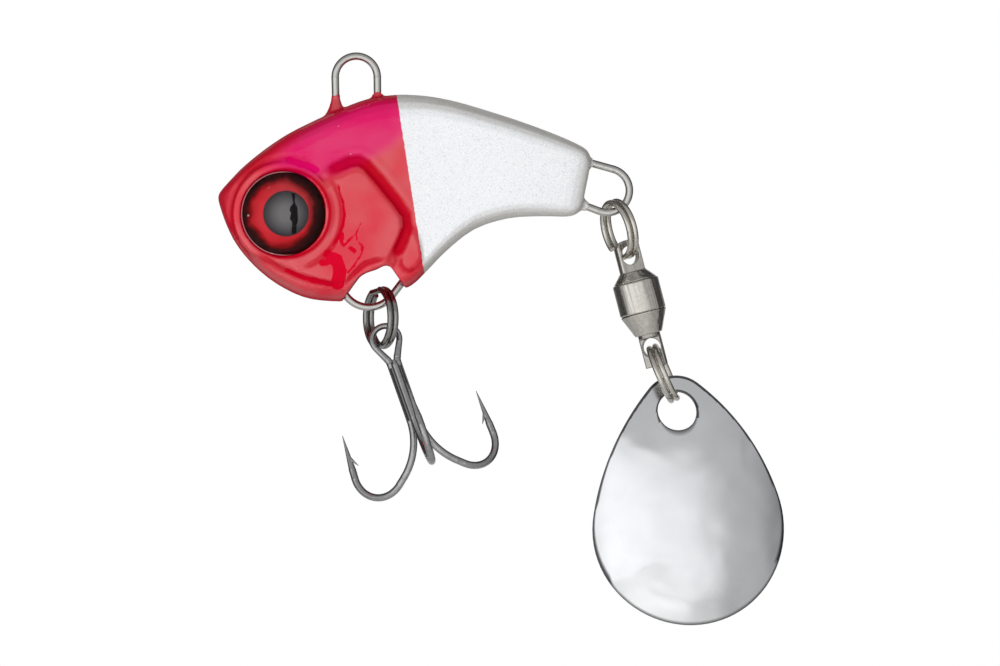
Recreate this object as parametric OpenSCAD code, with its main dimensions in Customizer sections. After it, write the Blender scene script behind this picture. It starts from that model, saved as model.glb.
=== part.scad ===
// Tail-spinner lure: a painted lead head cast round one bent wire, a treble hook under its belly,
// and a ball-bearing swivel with a dished blade behind its tail.
// Millimetres. +X towards the tail, +Z up, origin at the inside top of the line-tie loop.

/* [Wire harness] */
// Diameter of the harness wire
wire_d = 0.73; // [0.5:0.01:0.9]
// Bend radius of the line-tie loop, to the wire's centre
tie_bend_r = 2.0; // [1.6:0.05:2.4]
// Height of the line-tie loop above the back of the head
tie_rise = 4.0; // [3:0.1:6]
// Bend radius of the belly loop, to the wire's centre
belly_bend_r = 2.71; // [2.5:0.01:2.9]
// Bend radius of the tail loop, to the wire's centre
tail_bend_r = 2.1; // [1.9:0.05:2.3]

/* [Head casting] */
// Length of the casting from nose to tail face
head_l = 35.5; // [32:0.5:40]
// Height of the casting at the cheek
head_h = 18.2; // [16:0.2:21]
// Thickness of the casting at the cheek
head_t = 8.4; // [7:0.1:10]
// Height of the gill plate above the flank
gill_rise = 0.45; // [0.2:0.05:0.8]
// Height of the small fin lobe above the flank
lobe_rise = 0.2; // [0.1:0.05:0.4]
// Height of the paint that creeps up the belly leg, the tallest of the four creeps
paint_creep = 1.5; // [0.4:0.1:1.8]

/* [Eyes] */
// Diameter of each eye
eye_d = 8.0; // [6:0.1:9]
// Height of the clear dome above the socket rim
dome_h = 1.5; // [0.8:0.1:2.2]
// Thickness of the iris disc
iris_t = 0.35; // [0.2:0.05:0.5]
// Width of the raised rim round each socket
socket_rim_w = 0.9; // [0.6:0.1:1.2]

/* [Split rings] */
// Diameter of the spring wire in each split ring
ring_wire_d = 0.55; // [0.4:0.01:0.6]
// Outside diameter of the belly ring
belly_ring_d = 6.0; // [5.6:0.1:6.6]
// Outside diameter of the tail ring
tail_ring_d = 5.9; // [5.6:0.1:6.6]
// Outside diameter of the blade ring
blade_ring_d = 5.9; // [5.6:0.1:6.6]
// Air between a ring and the wire that it hangs on
link_gap = 0.2; // [0.15:0.01:0.3]

/* [Treble hook] */
// Diameter of the hook wire
hook_wire_d = 0.7; // [0.5:0.01:0.75]
// Diameter of the wire round the hook eye
hook_eye_wire_d = 0.6; // [0.4:0.01:0.7]
// Inside radius of the hook eye
hook_eye_r = 1.0; // [0.95:0.01:1.2]
// Overall length of the hook
hook_l = 15.9; // [14:0.1:20]
// Distance of each bend's outer side from the hook's axis
hook_reach = 8.35; // [7:0.1:9]
// Length of the ground point
point_l = 3.4; // [2.5:0.1:4.5]
// Height of the point below the top of the eye
point_drop = 8.3; // [7:0.05:9]

/* [Ball-bearing swivel] */
// Diameter of the barrel
barrel_d = 4.44; // [4.2:0.02:5]
// Length of the barrel's straight wall
barrel_l = 3.1; // [3:0.1:4]
// Width of the upper lug
upper_lug_w = 2.5; // [2.3:0.05:2.7]
// Width of the lower lug
lower_lug_w = 2.15; // [2.1:0.01:2.2]
// Thickness of both lugs
lug_t = 0.9; // [0.7:0.05:1]
// Diameter of the hole in each lug
lug_hole_d = 1.8; // [1.75:0.01:1.85]
// Diameter of one bearing ball
ball_d = 0.6; // [0.5:0.01:0.62]
// Running clearance inside the swivel
swivel_clear = 0.06; // [0.04:0.01:0.08]

/* [Blade] */
// Length of the blade
blade_l = 23.9; // [20:0.1:28]
// Width of the blade
blade_w = 18.4; // [15:0.1:22]
// Thickness of the blade's sheet
blade_t = 0.5; // [0.3:0.05:0.8]
// Diameter of the blade's hole
blade_hole_d = 3.6; // [3.2:0.1:4]
// Distance of the hole's centre from the blade's top edge
blade_hole_in = 3.35; // [3.1:0.05:3.8]

/* [Hidden] */
ball_n = 9;
$fn = 48;
eps = 0.01;
wire_r = wire_d / 2;

// ---- Small vector helpers -------------------------------------------------------------------
function dir(a) = [cos(a), sin(a)];
function left_of(v) = [-v[1], v[0]];
function heading(v) = atan2(v[1], v[0]);
function turn_to(a, b, t) = t > 0 ? (b - a + 720) % 360 : -((a - b + 720) % 360);
function arc(c, r, a0, a1, n) = [for (i = [0:n]) c + r * dir(a0 + (a1 - a0) * i / n)];
// Direction that a hanging part's axis points in, leaned towards the tail
function down(lean) = [sin(lean), 0, -cos(lean)];
// Direction towards its near side, yawed about that axis
function near(lean, yaw) = [sin(yaw) * cos(lean), -cos(yaw), sin(yaw) * sin(lean)];

// ---- Wire bent round pins -------------------------------------------------------------------
// A pin is [centre, radius, turn], turn 1 for anticlockwise and -1 for clockwise in the X-Z plane.
// The wire leaves each pin on the straight line that touches the next one.
function run_heading(p, q) =
  let (v = q[0] - p[0], off = q[2] * q[1] - p[2] * p[1])
  heading(v) - asin(off / norm(v));
function touch(p, a) = p[0] - p[2] * p[1] * left_of(dir(a));

// A round bar from one point of the X-Z plane to another
module straight(p, q, d0, d1) {
  translate([p[0], 0, p[1]]) rotate([0, 90 - heading(q - p), 0])
    cylinder(h = norm(q - p), d1 = d0, d2 = d1);
}

// A round bar bent about a pin, from heading a to heading b. The wire swells a little where a bend
// starts and ends.
swell = 1.03;
module bend(pin, a, b, d) {
  start = a - pin[2] * 90;
  swept = turn_to(a, b, pin[2]);
  translate([pin[0][0], 0, pin[0][1]]) rotate([90, 0, 0]) rotate([0, 0, min(start, start + swept)]) {
    rotate_extrude(angle = abs(swept)) translate([pin[1], 0]) circle(d = d);
    for (end = [0, abs(swept)]) rotate([0, 0, end]) translate([pin[1], 0]) sphere(d = swell * d);
  }
}

// The whole wire along its pins
module wire_run(pins, d) {
  last = len(pins) - 1;
  headings = [for (i = [0:last - 1]) run_heading(pins[i], pins[i + 1])];
  for (i = [0:last - 1])
    straight(touch(pins[i], headings[i]), touch(pins[i + 1], headings[i]), d, d);
  for (i = [1:last - 1])
    bend(pins[i], headings[i - 1], headings[i], d);
}

// ---- Head outline ---------------------------------------------------------------------------
// The master outline is drawn from the line tie at these sizes and scaled to the ones asked for.
master_l = 35.5;
master_h = 18.2;
master_rise = 4;
function hx(x) = x * head_l / master_l;
function hz(z) = -tie_rise + (z + master_rise) * head_h / master_h;
function hp(p) = [hx(p[0]), hz(p[1])];

// Stations from nose to tail face: top [x, z], bottom [x, z], half thickness as a share of the
// cheek's, depth of the rounding under the back, depth of the rounding over the belly.
STATIONS = [
  [[-13.1, -12.85], [-13.1, -13.3], 0.24, 0.15, 0.15],
  [[-12.75, -12.3], [-12.85, -14.2], 0.42, 0.7, 0.6],
  [[-11.9, -11.35], [-12.25, -15.85], 0.6, 1.3, 1.0],
  [[-10.6, -10.03], [-11.3, -17.65], 0.76, 1.8, 1.3],
  [[-8.6, -8.42], [-9.7, -19.55], 0.9, 2.2, 1.5],
  [[-6.4, -6.97], [-7.6, -21.25], 0.97, 2.4, 1.6],
  [[-3.8, -5.67], [-5, -22.53], 1.0, 2.5, 1.6],
  [[-1.4, -4.6], [-2.4, -22.92], 0.98, 2.5, 1.6],
  [[1.2, -3.66], [0.4, -22.85], 0.94, 2.5, 1.6],
  [[3.8, -3.3], [3.2, -22.2], 0.88, 2.3, 1.6],
  [[5.7, -3.34], [5.2, -21.45], 0.85, 2.1, 1.5],
  [[7.4, -3.53], [6.7, -20.05], 0.83, 2.0, 1.4],
  [[9.6, -3.98], [8.6, -18.1], 0.81, 1.9, 1.4],
  [[12.4, -4.8], [11.2, -16.1], 0.77, 1.8, 1.4],
  [[15.8, -5.9], [14.4, -15.05], 0.71, 1.7, 1.3],
  [[19.2, -7.18], [17.6, -14.85], 0.62, 1.5, 1.2],
  [[21.5, -8.25], [20.1, -14.87], 0.53, 1.2, 1.0],
  [[22.15, -8.95], [21.1, -14.5], 0.42, 1.0, 0.8],
  [[22.3, -9.7], [21.45, -13.95], 0.3, 0.7, 0.6]
];
// Steps between two stations, points round a quarter of the rounding, points down a flank
loft_steps = 3;
round_steps = 5;
flank_steps = 4;
// Squareness of the rounding, and how much the flank swells at its middle
round_power = 2.4;
flank_swell = 0.03;

function spline(a, b, c, d, t) =
  0.5 * (2 * b + (c - a) * t + (2 * a - 5 * b + 4 * c - d) * t * t
         + (3 * b - a - 3 * c + d) * t * t * t);
function station(i, k) = STATIONS[max(0, min(len(STATIONS) - 1, i))][k];
function at_station(i, t, k) =
  spline(station(i - 1, k), station(i, k), station(i + 1, k), station(i + 2, k), t);

// One flank of a cross-section, as [half thickness, share of the way from top to bottom]
function flank(w, top, bottom, depth) = concat(
  [for (i = [0:round_steps])
    let (a = 90 * i / round_steps)
    [w * pow(sin(a), 2 / round_power), top * (1 - pow(cos(a), 2 / round_power)) / depth]],
  [for (i = [1:flank_steps - 1])
    let (s = i / flank_steps)
    [w * (1 + flank_swell * sin(180 * s)), (top + (depth - top - bottom) * s) / depth]],
  [for (i = [0:round_steps])
    let (a = 90 * (1 - i / round_steps))
    [w * pow(sin(a), 2 / round_power), 1 - bottom * (1 - pow(cos(a), 2 / round_power)) / depth]]
);
function section(i, t) =
  let (
    p = hp(at_station(i, t, 0)),
    q = hp(at_station(i, t, 1)),
    side = flank(at_station(i, t, 2) * head_t / 2, at_station(i, t, 3), at_station(i, t, 4), norm(p - q)),
    n = len(side)
  )
  [for (j = [0:2 * n - 3])
    let (v = j < n ? side[j] : side[2 * n - 2 - j], m = p + (q - p) * v[1])
    [m[0], (j < n ? -1 : 1) * v[0], m[1]]];

module head_loft() {
  last = len(STATIONS) - 1;
  rings = concat(
    [for (i = [0:last - 1]) for (s = [0:loft_steps - 1]) section(i, s / loft_steps)],
    [section(last - 1, 1)]
  );
  n = len(rings[0]);
  m = len(rings);
  polyhedron(
    points = [for (r = rings) each r],
    faces = concat(
      [[for (j = [0:n - 1]) j]],
      [[for (j = [n - 1:-1:0]) (m - 1) * n + j]],
      [for (i = [0:m - 2]) for (j = [0:n - 1])
        let (a = i * n + j, b = i * n + (j + 1) % n) each [[a, a + n, b], [b, a + n, b + n]]]
    )
  );
}

// ---- Harness route --------------------------------------------------------------------------
tie_pin = [[0, wire_r - tie_bend_r], tie_bend_r, -1];
belly_pin = [hp([1.21, -20.78]), belly_bend_r, -1];
tail_pin = [hp([21.75, -12.4]) + [tail_bend_r, 0], tail_bend_r, -1];
// Bend inside the casting between the belly loop's rear leg and the tail loop's lower leg
inner_pin = [hp([13, -12.2]), 1.5, 1];
tail_end = [hp([15.5, -7.9]), 0, 1];
tie_end = [hp([2.1, -10]), 0, 1];
HARNESS = [tail_end, tail_pin, inner_pin, belly_pin, tie_pin, tie_end];
// Air between the cast metal and the wire in it
cast_clear = 0.01;

module wire_harness() {
  color("DimGray") wire_run(HARNESS, wire_d);
}

// ---- Head casting ---------------------------------------------------------------------------
eye_in_x = -6.58;
eye_in_z = -14.63;
eye_centre = hp([eye_in_x, eye_in_z]);
// Yaw of each eye towards the nose
eye_yaw = 4;
socket_floor = 0.4 * head_t;
rim_top = 0.525 * head_t;
eye_fit = 0.03;

// Moves a piece drawn along +Z, from the middle plane outwards, to one side of the head
module on_side(side) {
  translate([eye_centre[0], 0, eye_centre[1]]) rotate([0, 0, -side * eye_yaw]) rotate([side * 90, 0, 0])
    children();
}

// Raised lip round an eye socket, with a rounded outer edge
socket_lap = 0.2;
lip = 0.35;
module socket_rim(side) {
  inner = eye_d / 2 - socket_lap;
  outer = eye_d / 2 + socket_rim_w;
  on_side(side) rotate_extrude() {
    translate([inner, 0]) square([outer - inner - lip, rim_top]);
    translate([inner, 0]) square([outer - inner, rim_top - lip]);
    translate([outer - lip, rim_top - lip]) circle(r = lip);
  }
}

// The gill plate's own outline, from the eye over the top and down its rear edge to the jaw
GILL = [
  [-6.6, -14.6], [-3.4, -11.4], [-2.1, -10.4], [-0.6, -9.65], [0.3, -9.5], [1.1, -9.95], [2.4, -11.6],
  [3.9, -13.5], [4.85, -14.85], [5, -15.9], [4.45, -17.5], [3.7, -19], [2.9, -20.4], [1, -21.4],
  [-1.2, -21.9], [-3.6, -21.75], [-6, -20.8], [-8, -19.3]
];
gill_middle = [-1, -16.5];
gill_foot = head_t / 2 - 0.15;
gill_taper = 0.82;
// The fin lobe below the gill plate's rear corner
LOBE = [
  [3.5, -18.6], [4.3, -19.9], [5, -20.15], [5.7, -19.7], [6.2, -18.9], [6, -17.4], [5.4, -15.9], [4.7, -15.8]
];
lobe_middle = [5, -18];
lobe_foot = 0.445 * head_t;
lobe_taper = 0.7;
// Yaw of the plate, which follows the flank as it thins towards the tail
flank_yaw = 2;

// A raised patch on one flank: its outline, tapered outwards about its middle
module patch(side, outline, middle, foot, rise, taper) {
  translate([hx(middle[0]), 0, hz(middle[1])]) rotate([0, 0, side * flank_yaw])
    rotate([side * 90, 0, 0]) mirror([0, side > 0 ? 0 : 1, 0]) {
      flat = [for (p = outline) hp(p) - hp(middle)];
      linear_extrude(foot) polygon(flat);
      translate([0, 0, foot]) linear_extrude(rise, scale = taper) polygon(flat);
    }
}

// Notch between jaw and heel that the belly loop stands in
NOTCH = [
  [-1.24, -22.75], [-0.77, -22.1], [-0.14, -21.2], [0.35, -20.55], [0.95, -20.2], [1.9, -19.9],
  [2.45, -19.6], [2.8, -19.5], [3.1, -19.55], [3.4, -19.8], [3.95, -20.6], [4.5, -21.4], [5.1, -22.4],
  [4, -25], [-1.6, -25]
];
module belly_notch() {
  translate([0, head_t, 0]) rotate([90, 0, 0]) linear_extrude(2 * head_t)
    polygon([for (p = NOTCH) hp(p)]);
}

// Paint drawn up a wire leg: a flare that comes up out of the casting and dies away on the wire
cove_bow = 2.2;
cove_sink = 0.6;
cove_skin = 0.07;
// Share of the belly leg's paint that the other legs carry
back_cove = 0.4 * paint_creep;
tail_cove = 0.35 * paint_creep;
// Where each leg leaves the paint: heights on the back, then distances along the tail
belly_leg_z = -4.75;
tie_leg_z = -3.5;
tail_top_x = 22.1;
tail_low_x = 21.6;
module paint_cove(at, a, size) {
  top = wire_r + cove_skin;
  foot = top + size * (cove_bow - sqrt(cove_bow * cove_bow - (1 + cove_sink) * (1 + cove_sink)));
  translate([at[0], 0, at[1]]) rotate([0, 90 - a, 0]) rotate_extrude() difference() {
    translate([0, -size * (1 + cove_sink)]) square([foot, size * (2 + cove_sink)]);
    translate([top + size * cove_bow, size]) circle(r = size * cove_bow);
  }
}
// Heading of the wire from pin i to the next, and the point of that run at a given x or z
function run_a(i) = run_heading(HARNESS[i], HARNESS[i + 1]);
function at_z(i, z) =
  let (p = touch(HARNESS[i], run_a(i))) p + dir(run_a(i)) * (z - p[1]) / sin(run_a(i));
function at_x(i, x) =
  let (p = touch(HARNESS[i], run_a(i))) p + dir(run_a(i)) * (x - p[0]) / cos(run_a(i));

module head_casting() {
  color("Crimson") difference() {
    union() {
      difference() {
        union() {
          head_loft();
          for (side = [-1, 1]) {
            patch(side, GILL, gill_middle, gill_foot, gill_rise, gill_taper);
            patch(side, LOBE, lobe_middle, lobe_foot, lobe_rise, lobe_taper);
          }
        }
        belly_notch();
      }
      for (side = [-1, 1]) socket_rim(side);
      paint_cove(at_z(3, hz(belly_leg_z)), run_a(3), paint_creep);
      paint_cove(at_z(4, hz(tie_leg_z)), run_a(4) + 180, back_cove);
      paint_cove(at_x(0, hx(tail_top_x)), run_a(0), tail_cove);
      paint_cove(at_x(1, hx(tail_low_x)), run_a(1) + 180, tail_cove);
    }
    for (side = [-1, 1])
      on_side(side) translate([0, 0, socket_floor]) cylinder(h = head_t, d = eye_d + 2 * eye_fit);
    wire_run(HARNESS, wire_d + 2 * cast_clear);
  }
}

// ---- Eyes -----------------------------------------------------------------------------------
module eye_iris(side) {
  color("FireBrick") on_side(side) translate([0, 0, socket_floor]) cylinder(h = iris_t, d = eye_d);
}

// Clear lens: a straight skirt in the socket under a spherical dome
skirt_drop = 0.1;
module eye_dome(side) {
  r = eye_d / 2;
  foot = socket_floor + iris_t;
  skirt = rim_top - foot - skirt_drop;
  ball_r = (r * r + dome_h * dome_h) / (2 * dome_h);
  color("LightCoral") on_side(side) translate([0, 0, foot]) {
    cylinder(h = skirt, r = r);
    translate([0, 0, skirt]) intersection() {
      translate([0, 0, dome_h - ball_r]) sphere(ball_r);
      cylinder(h = 2 * dome_h, r = r);
    }
  }
}

// ---- Split rings ----------------------------------------------------------------------------
// Two flat turns of spring wire side by side, joined where the wire crosses from one to the other
turn_gap = 0.04;
turn_pitch = ring_wire_d + turn_gap;
half_axial = ring_wire_d + turn_gap / 2;
cross_half = 14;
end_gap = 9;
function ring_r(d) = (d - ring_wire_d) / 2;

// A ring in its own frame: axis X, bottom at -Z, near side at -Y. cross_a is where it crosses,
// measured from the bottom towards the far side.
module split_ring(d, cross_a) {
  r = ring_r(d);
  swept = 360 - 2 * cross_half - end_gap;
  a = [half_axial - ring_wire_d / 2, r * sin(cross_half), -r * cos(cross_half)];
  b = [-a[0], -a[1], a[2]];
  span = b - a;
  color("Silver") rotate([cross_a, 0, 0]) {
    rotate([90, 0, 90]) {
      translate([0, 0, turn_pitch / 2]) rotate([0, 0, cross_half - 90]) ring_turn(r, swept);
      translate([0, 0, -turn_pitch / 2]) rotate([0, 0, -cross_half - 90 - swept]) ring_turn(r, swept);
    }
    translate(a) rotate([0, acos(span[2] / norm(span)), atan2(span[1], span[0])])
      cylinder(h = norm(span), d = ring_wire_d);
    for (p = [a, b]) translate(p) sphere(d = swell * ring_wire_d);
  }
}
module ring_turn(r, swept) {
  rotate_extrude(angle = swept) translate([r, 0]) circle(d = ring_wire_d);
}

// Middle of the wire ring section that hangs inside a loop, at angle a on the loop's pin
function seat(pin, a, n) =
  let (v = [cos(a), 0, sin(a)], need = abs(n * v) * half_axial + ring_wire_d / 2)
  [pin[0][0], 0, pin[0][1]] + v * (pin[1] - wire_r - need - link_gap);
function cross_v(a, b) = [a[1] * b[2] - a[2] * b[1], a[2] * b[0] - a[0] * b[2], a[0] * b[1] - a[1] * b[0]];
// Point round a ring, a degrees from its bottom towards the near side
function round_ring(r, lean, yaw, a) = r * (cos(a) * down(lean) + sin(a) * near(lean, yaw));

// Puts a piece in the frame that leans by lean and yaws by yaw at point p
module hang(p, lean, yaw) {
  translate(p) rotate([0, -lean, 0]) rotate([0, 0, yaw]) children();
}

belly_lean = 0;
belly_yaw = 26;
belly_cross_a = 165;
belly_seat_a = -41.5;
belly_ring_r = ring_r(belly_ring_d);
belly_top = seat(belly_pin, belly_seat_a, cross_v(near(belly_lean, belly_yaw), down(belly_lean)));
belly_ring_c = belly_top + belly_ring_r * down(belly_lean);

tail_lean = 15;
tail_yaw = 25;
tail_cross_a = 28;
tail_seat_a = -68;
tail_ring_r = ring_r(tail_ring_d);
tail_top = seat(tail_pin, tail_seat_a, cross_v(near(tail_lean, tail_yaw), down(tail_lean)));
tail_ring_c = tail_top + tail_ring_r * down(tail_lean);

module belly_split_ring() {
  hang(belly_ring_c, belly_lean, belly_yaw) split_ring(belly_ring_d, belly_cross_a);
}
module tail_split_ring() {
  hang(tail_ring_c, tail_lean, tail_yaw) split_ring(tail_ring_d, tail_cross_a);
}

// ---- Treble hook ----------------------------------------------------------------------------
// In its own frame the middle of the eye is the origin and the shank runs down -Z.
eye_bend_r = hook_eye_r + hook_eye_wire_d / 2;
eye_top = eye_bend_r + hook_eye_wire_d / 2;
shank_gap = 0.04;
shank_off = (hook_wire_d + shank_gap) / sqrt(3);
shank_half = (hook_wire_d + shank_gap) / 2;
// Plane of the two shanks of the double hook, behind which the hook's axis lies
shank_plane = shank_off / 2;
shank_top = -2.8;
bend_bottom = eye_top - hook_l + hook_wire_d / 2;
out_r = hook_reach - hook_wire_d / 2;
// One hook's bend, in its own plane, as radius from the axis and height: a wide heel that starts at a
// share of the hook's length, and a tighter toe
heel_share = 0.62;
heel_top = eye_top - heel_share * hook_l;
heel_r = heel_top - bend_bottom;
toe_r = 2.75;
heel_pin = [[shank_off + heel_r, heel_top], heel_r, 1];
toe_pin = [[out_r - toe_r, bend_bottom + toe_r], toe_r, 1];
// How far the point leans in
tip_lean = 0.25;
hook_tip = [[out_r - tip_lean, eye_top - point_drop], 0, 1];
tip_d = 0.06;
// A taper starts a little inside the wire, and is that much thinner than it
taper_in = 0.1;
taper_d = 0.99 * hook_wire_d;
fork_rise = 0.3;
fork_r = 1.25;
// Distance of the barb's tip from the point, and its length and lift
barb_at = 3.3;
barb_l = 1.1;
barb_lift = 0.75;
barb_root_d = 0.38;
// The third shank's end tapers above the joint with the other two
shank_end_l = 0.6;

// Its shank starts at height top
module hook_bend(top) {
  a1 = run_heading(heel_pin, toe_pin);
  a2 = run_heading(toe_pin, hook_tip);
  rise = hook_tip[0] - touch(toe_pin, a2);
  u = dir(a2);
  root = touch(toe_pin, a2) + u * (norm(rise) - point_l);
  straight([shank_off, top], [shank_off, heel_top], hook_wire_d, hook_wire_d);
  bend(heel_pin, -90, a1, hook_wire_d);
  straight(touch(heel_pin, a1), touch(toe_pin, a1), hook_wire_d, hook_wire_d);
  bend(toe_pin, a1, a2, hook_wire_d);
  straight(touch(toe_pin, a2), root, hook_wire_d, hook_wire_d);
  straight(root - taper_in * u, hook_tip[0], taper_d, tip_d);
  // Barb, cut up from the inner side of the wire
  straight(hook_tip[0] - (barb_at - barb_l) * u, hook_tip[0] - barb_at * u + barb_lift * left_of(u),
           barb_root_d, tip_d);
}

// Puts a hook's plane at an azimuth round the shank, 0 for the near side
module azimuth(a) {
  translate([0, -shank_plane, 0]) rotate([0, 0, a - 90]) children();
}

treble_lean = 19.5;
treble_tilt = 14;
treble_turn = 4;
belly_eye_a = 30;
// Height of the eye's middle above the ring's wire, which lies low in the eye
eye_lift = 0.35;
treble_at = belly_ring_c + round_ring(belly_ring_r, belly_lean, belly_yaw, belly_eye_a);

module treble_place() {
  translate(treble_at) rotate([0, -treble_lean, 0]) rotate([-treble_tilt, 0, 0]) rotate([0, 0, treble_turn])
    translate([0, 0, eye_lift]) children();
}

module treble_double_hook() {
  eye_pin = [[0, 0], eye_bend_r, -1];
  left_pin = [[-shank_half - fork_r, shank_top + fork_rise], fork_r, 1];
  right_pin = [[shank_half + fork_r, shank_top + fork_rise], fork_r, 1];
  a1 = run_heading(left_pin, eye_pin);
  a2 = run_heading(eye_pin, right_pin);
  color("DimGray") treble_place() {
    for (a = [120, -120]) azimuth(a) hook_bend(shank_top + fork_rise);
    bend(left_pin, 90, a1, hook_wire_d);
    straight(touch(left_pin, a1), touch(eye_pin, a1), hook_wire_d, hook_eye_wire_d);
    bend(eye_pin, a1, a2, hook_eye_wire_d);
    straight(touch(eye_pin, a2), touch(right_pin, a2), hook_eye_wire_d, hook_wire_d);
    bend(right_pin, a2, -90, hook_wire_d);
  }
}

module treble_single_hook() {
  color("DimGray") treble_place() azimuth(0) {
    hook_bend(shank_top);
    translate([shank_off, 0, shank_top - taper_in])
      cylinder(h = shank_end_l, d1 = taper_d, d2 = hook_wire_d / 2);
  }
}

// Braze in the grooves between the three shanks
braze_l = 5.4;
braze_drop = 0.2;
braze_r = 0.92 * hook_wire_d;
module treble_braze() {
  color("Gray") treble_place() translate([0, -shank_plane, shank_top - braze_l - braze_drop]) difference() {
    cylinder(h = braze_l, r = braze_r);
    for (a = [0, 120, 240]) rotate([0, 0, a]) translate([0, -shank_off, -1])
      cylinder(h = braze_l + 2, d = hook_wire_d + 2 * eps);
  }
}

// ---- Swivel ---------------------------------------------------------------------------------
// In its own frame the upper hole's middle is the origin and the swivel runs down -Z.
swivel_lean = 14.5;
upper_yaw = 25;
lower_yaw = -13;
blade_ring_yaw = -5;
tail_eye_a = 10;
swivel_at = tail_ring_c + round_ring(tail_ring_r, tail_lean, tail_yaw, tail_eye_a);
lug_r = lug_hole_d / 2;
// Metal round a lug's hole, and below the lower one
lug_land = 0.6;
lower_land = 0.95;
lug_tip = lug_r + lug_land;
upper_foot = 1.6;
shoulder_h = 0.9;
barrel_top = upper_foot + shoulder_h;
barrel_foot = barrel_top + barrel_l;
cap_h = 2.1;
mouth = barrel_foot + cap_h;
barrel_r = barrel_d / 2;
barrel_wall = 0.5;
// Chamfer of the barrel's ends, and how far the shoulder's top laps past the lug
barrel_edge = 0.12;
shoulder_r = barrel_r - barrel_edge;
shoulder_lap = 0.05;
bore_r = barrel_r - barrel_wall;
neck_r = lower_lug_w / 2;
mouth_r = neck_r + swivel_clear;
lower_hole = mouth + 1.3;
lower_tip = lower_hole + lug_r + lower_land;
plug_h = 0.7;
// Lip of the cap's mouth, height of the shaft's head and of its collar
cap_lip = 0.17;
shaft_head_h = 0.9;
collar_h = 0.35;
ball_r = ball_d / 2;
ball_z = barrel_foot - ball_r - swivel_clear;
stem_r = 0.72;
pitch_r = stem_r + ball_r + swivel_clear;

module swivel_place() {
  hang(swivel_at, swivel_lean, 0) children();
}

// A flat lug drilled across, its two faces milled off round bar
module lug(w, from, to, yaw) {
  rotate([0, 0, yaw]) intersection() {
    translate([0, 0, -to]) cylinder(h = to - from, d = w);
    translate([-w, -lug_t / 2, -to]) cube([2 * w, lug_t, to - from]);
    children();
  }
}
module lug_hole(at, yaw) {
  rotate([0, 0, yaw]) translate([0, 2 * lug_t, -at]) rotate([90, 0, 0])
    cylinder(h = 4 * lug_t, d = lug_hole_d);
}

module swivel_upper_lug() {
  color("LightGray") swivel_place() {
    difference() {
      lug(upper_lug_w, -lug_tip, upper_foot, upper_yaw)
        union() {
          rotate([90, 0, 0]) cylinder(h = 4 * lug_t, r = lug_tip, center = true);
          translate([-upper_lug_w, -2 * lug_t, -upper_foot]) cube([2 * upper_lug_w, 4 * lug_t, upper_foot]);
        }
      lug_hole(0, upper_yaw);
    }
    translate([0, 0, -barrel_top])
      cylinder(h = shoulder_h, r1 = shoulder_r, r2 = upper_lug_w / 2 + shoulder_lap);
    translate([0, 0, -barrel_top - plug_h]) cylinder(h = plug_h, r = bore_r);
  }
}

module swivel_barrel() {
  edge_r = barrel_r - barrel_edge;
  color("Silver") swivel_place() translate([0, 0, -barrel_foot]) difference() {
    union() {
      cylinder(h = barrel_edge, r1 = edge_r, r2 = barrel_r);
      translate([0, 0, barrel_edge]) cylinder(h = barrel_l - 2 * barrel_edge, r = barrel_r);
      translate([0, 0, barrel_l - barrel_edge]) cylinder(h = barrel_edge, r1 = barrel_r, r2 = edge_r);
    }
    translate([0, 0, -1]) cylinder(h = barrel_l + 2, r = bore_r);
  }
}

// Conical cap, closed round the shaft's neck and carrying the balls on its upper face
module swivel_cap() {
  color("Silver") swivel_place() translate([0, 0, -mouth]) difference() {
    cylinder(h = cap_h, r1 = mouth_r + cap_lip, r2 = barrel_r);
    translate([0, 0, -1]) cylinder(h = cap_h + 2, r = mouth_r);
  }
}

// Turned shaft: a head above the balls, a stem through them, and a drilled lug below the cap
module swivel_shaft() {
  color("LightGray") swivel_place() {
    translate([0, 0, -ball_z + ball_r + swivel_clear]) cylinder(h = shaft_head_h, r = bore_r - swivel_clear);
    translate([0, 0, -barrel_foot]) cylinder(h = barrel_foot - ball_z + ball_r + swivel_clear, r = stem_r);
    translate([0, 0, -mouth - collar_h]) cylinder(h = cap_h + collar_h, r = neck_r);
    difference() {
      lug(lower_lug_w, mouth + collar_h, lower_tip, lower_yaw)
        translate([-lower_lug_w, -2 * lug_t, -lower_tip]) cube([2 * lower_lug_w, 4 * lug_t, lower_tip]);
      lug_hole(lower_hole, lower_yaw);
    }
  }
}

module swivel_ball(i) {
  color("White") swivel_place() rotate([0, 0, 360 * i / ball_n]) translate([pitch_r, 0, -ball_z])
    sphere(ball_r);
}

// ---- Blade ring and blade -------------------------------------------------------------------
blade_ring_lean = 23;
blade_cross_a = 28;
blade_ring_r = ring_r(blade_ring_d);
blade_ring_top = swivel_at + lower_hole * down(swivel_lean);
blade_ring_c = blade_ring_top + blade_ring_r * down(blade_ring_lean);
blade_ring_foot = blade_ring_c + blade_ring_r * down(blade_ring_lean);
module blade_split_ring() {
  hang(blade_ring_c, blade_ring_lean, blade_ring_yaw) split_ring(blade_ring_d, blade_cross_a);
}

blade_lean = 6.3;
blade_yaw = 8;
// Air above the ring's wire in the blade's hole, which is wider at the sides of the pair of turns
blade_slack = link_gap + 0.2;
// Lean of the line from the ring's wire to the middle of the hole
blade_seat_a = 16;
blade_at = blade_ring_foot + (blade_hole_d / 2 - ring_wire_d / 2 - blade_slack) * down(blade_seat_a);
// Teardrop outline about the hole: a small top arc, a big bottom arc and a side arc on each side
top_arc_r = blade_hole_in;
bottom_arc_r = blade_w / 2;
bottom_arc_z = -(blade_l - blade_hole_in - bottom_arc_r);
side_arc_r = 2.6 * bottom_arc_r;
// Radii of the sheet's dish along the blade and across it, and how far its lowest point lies above
// the middle of the bottom arc
dish_long_r = 40;
dish_cross_r = 16;
dish_up = 0.8;
dish_z = bottom_arc_z + dish_up;
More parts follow.
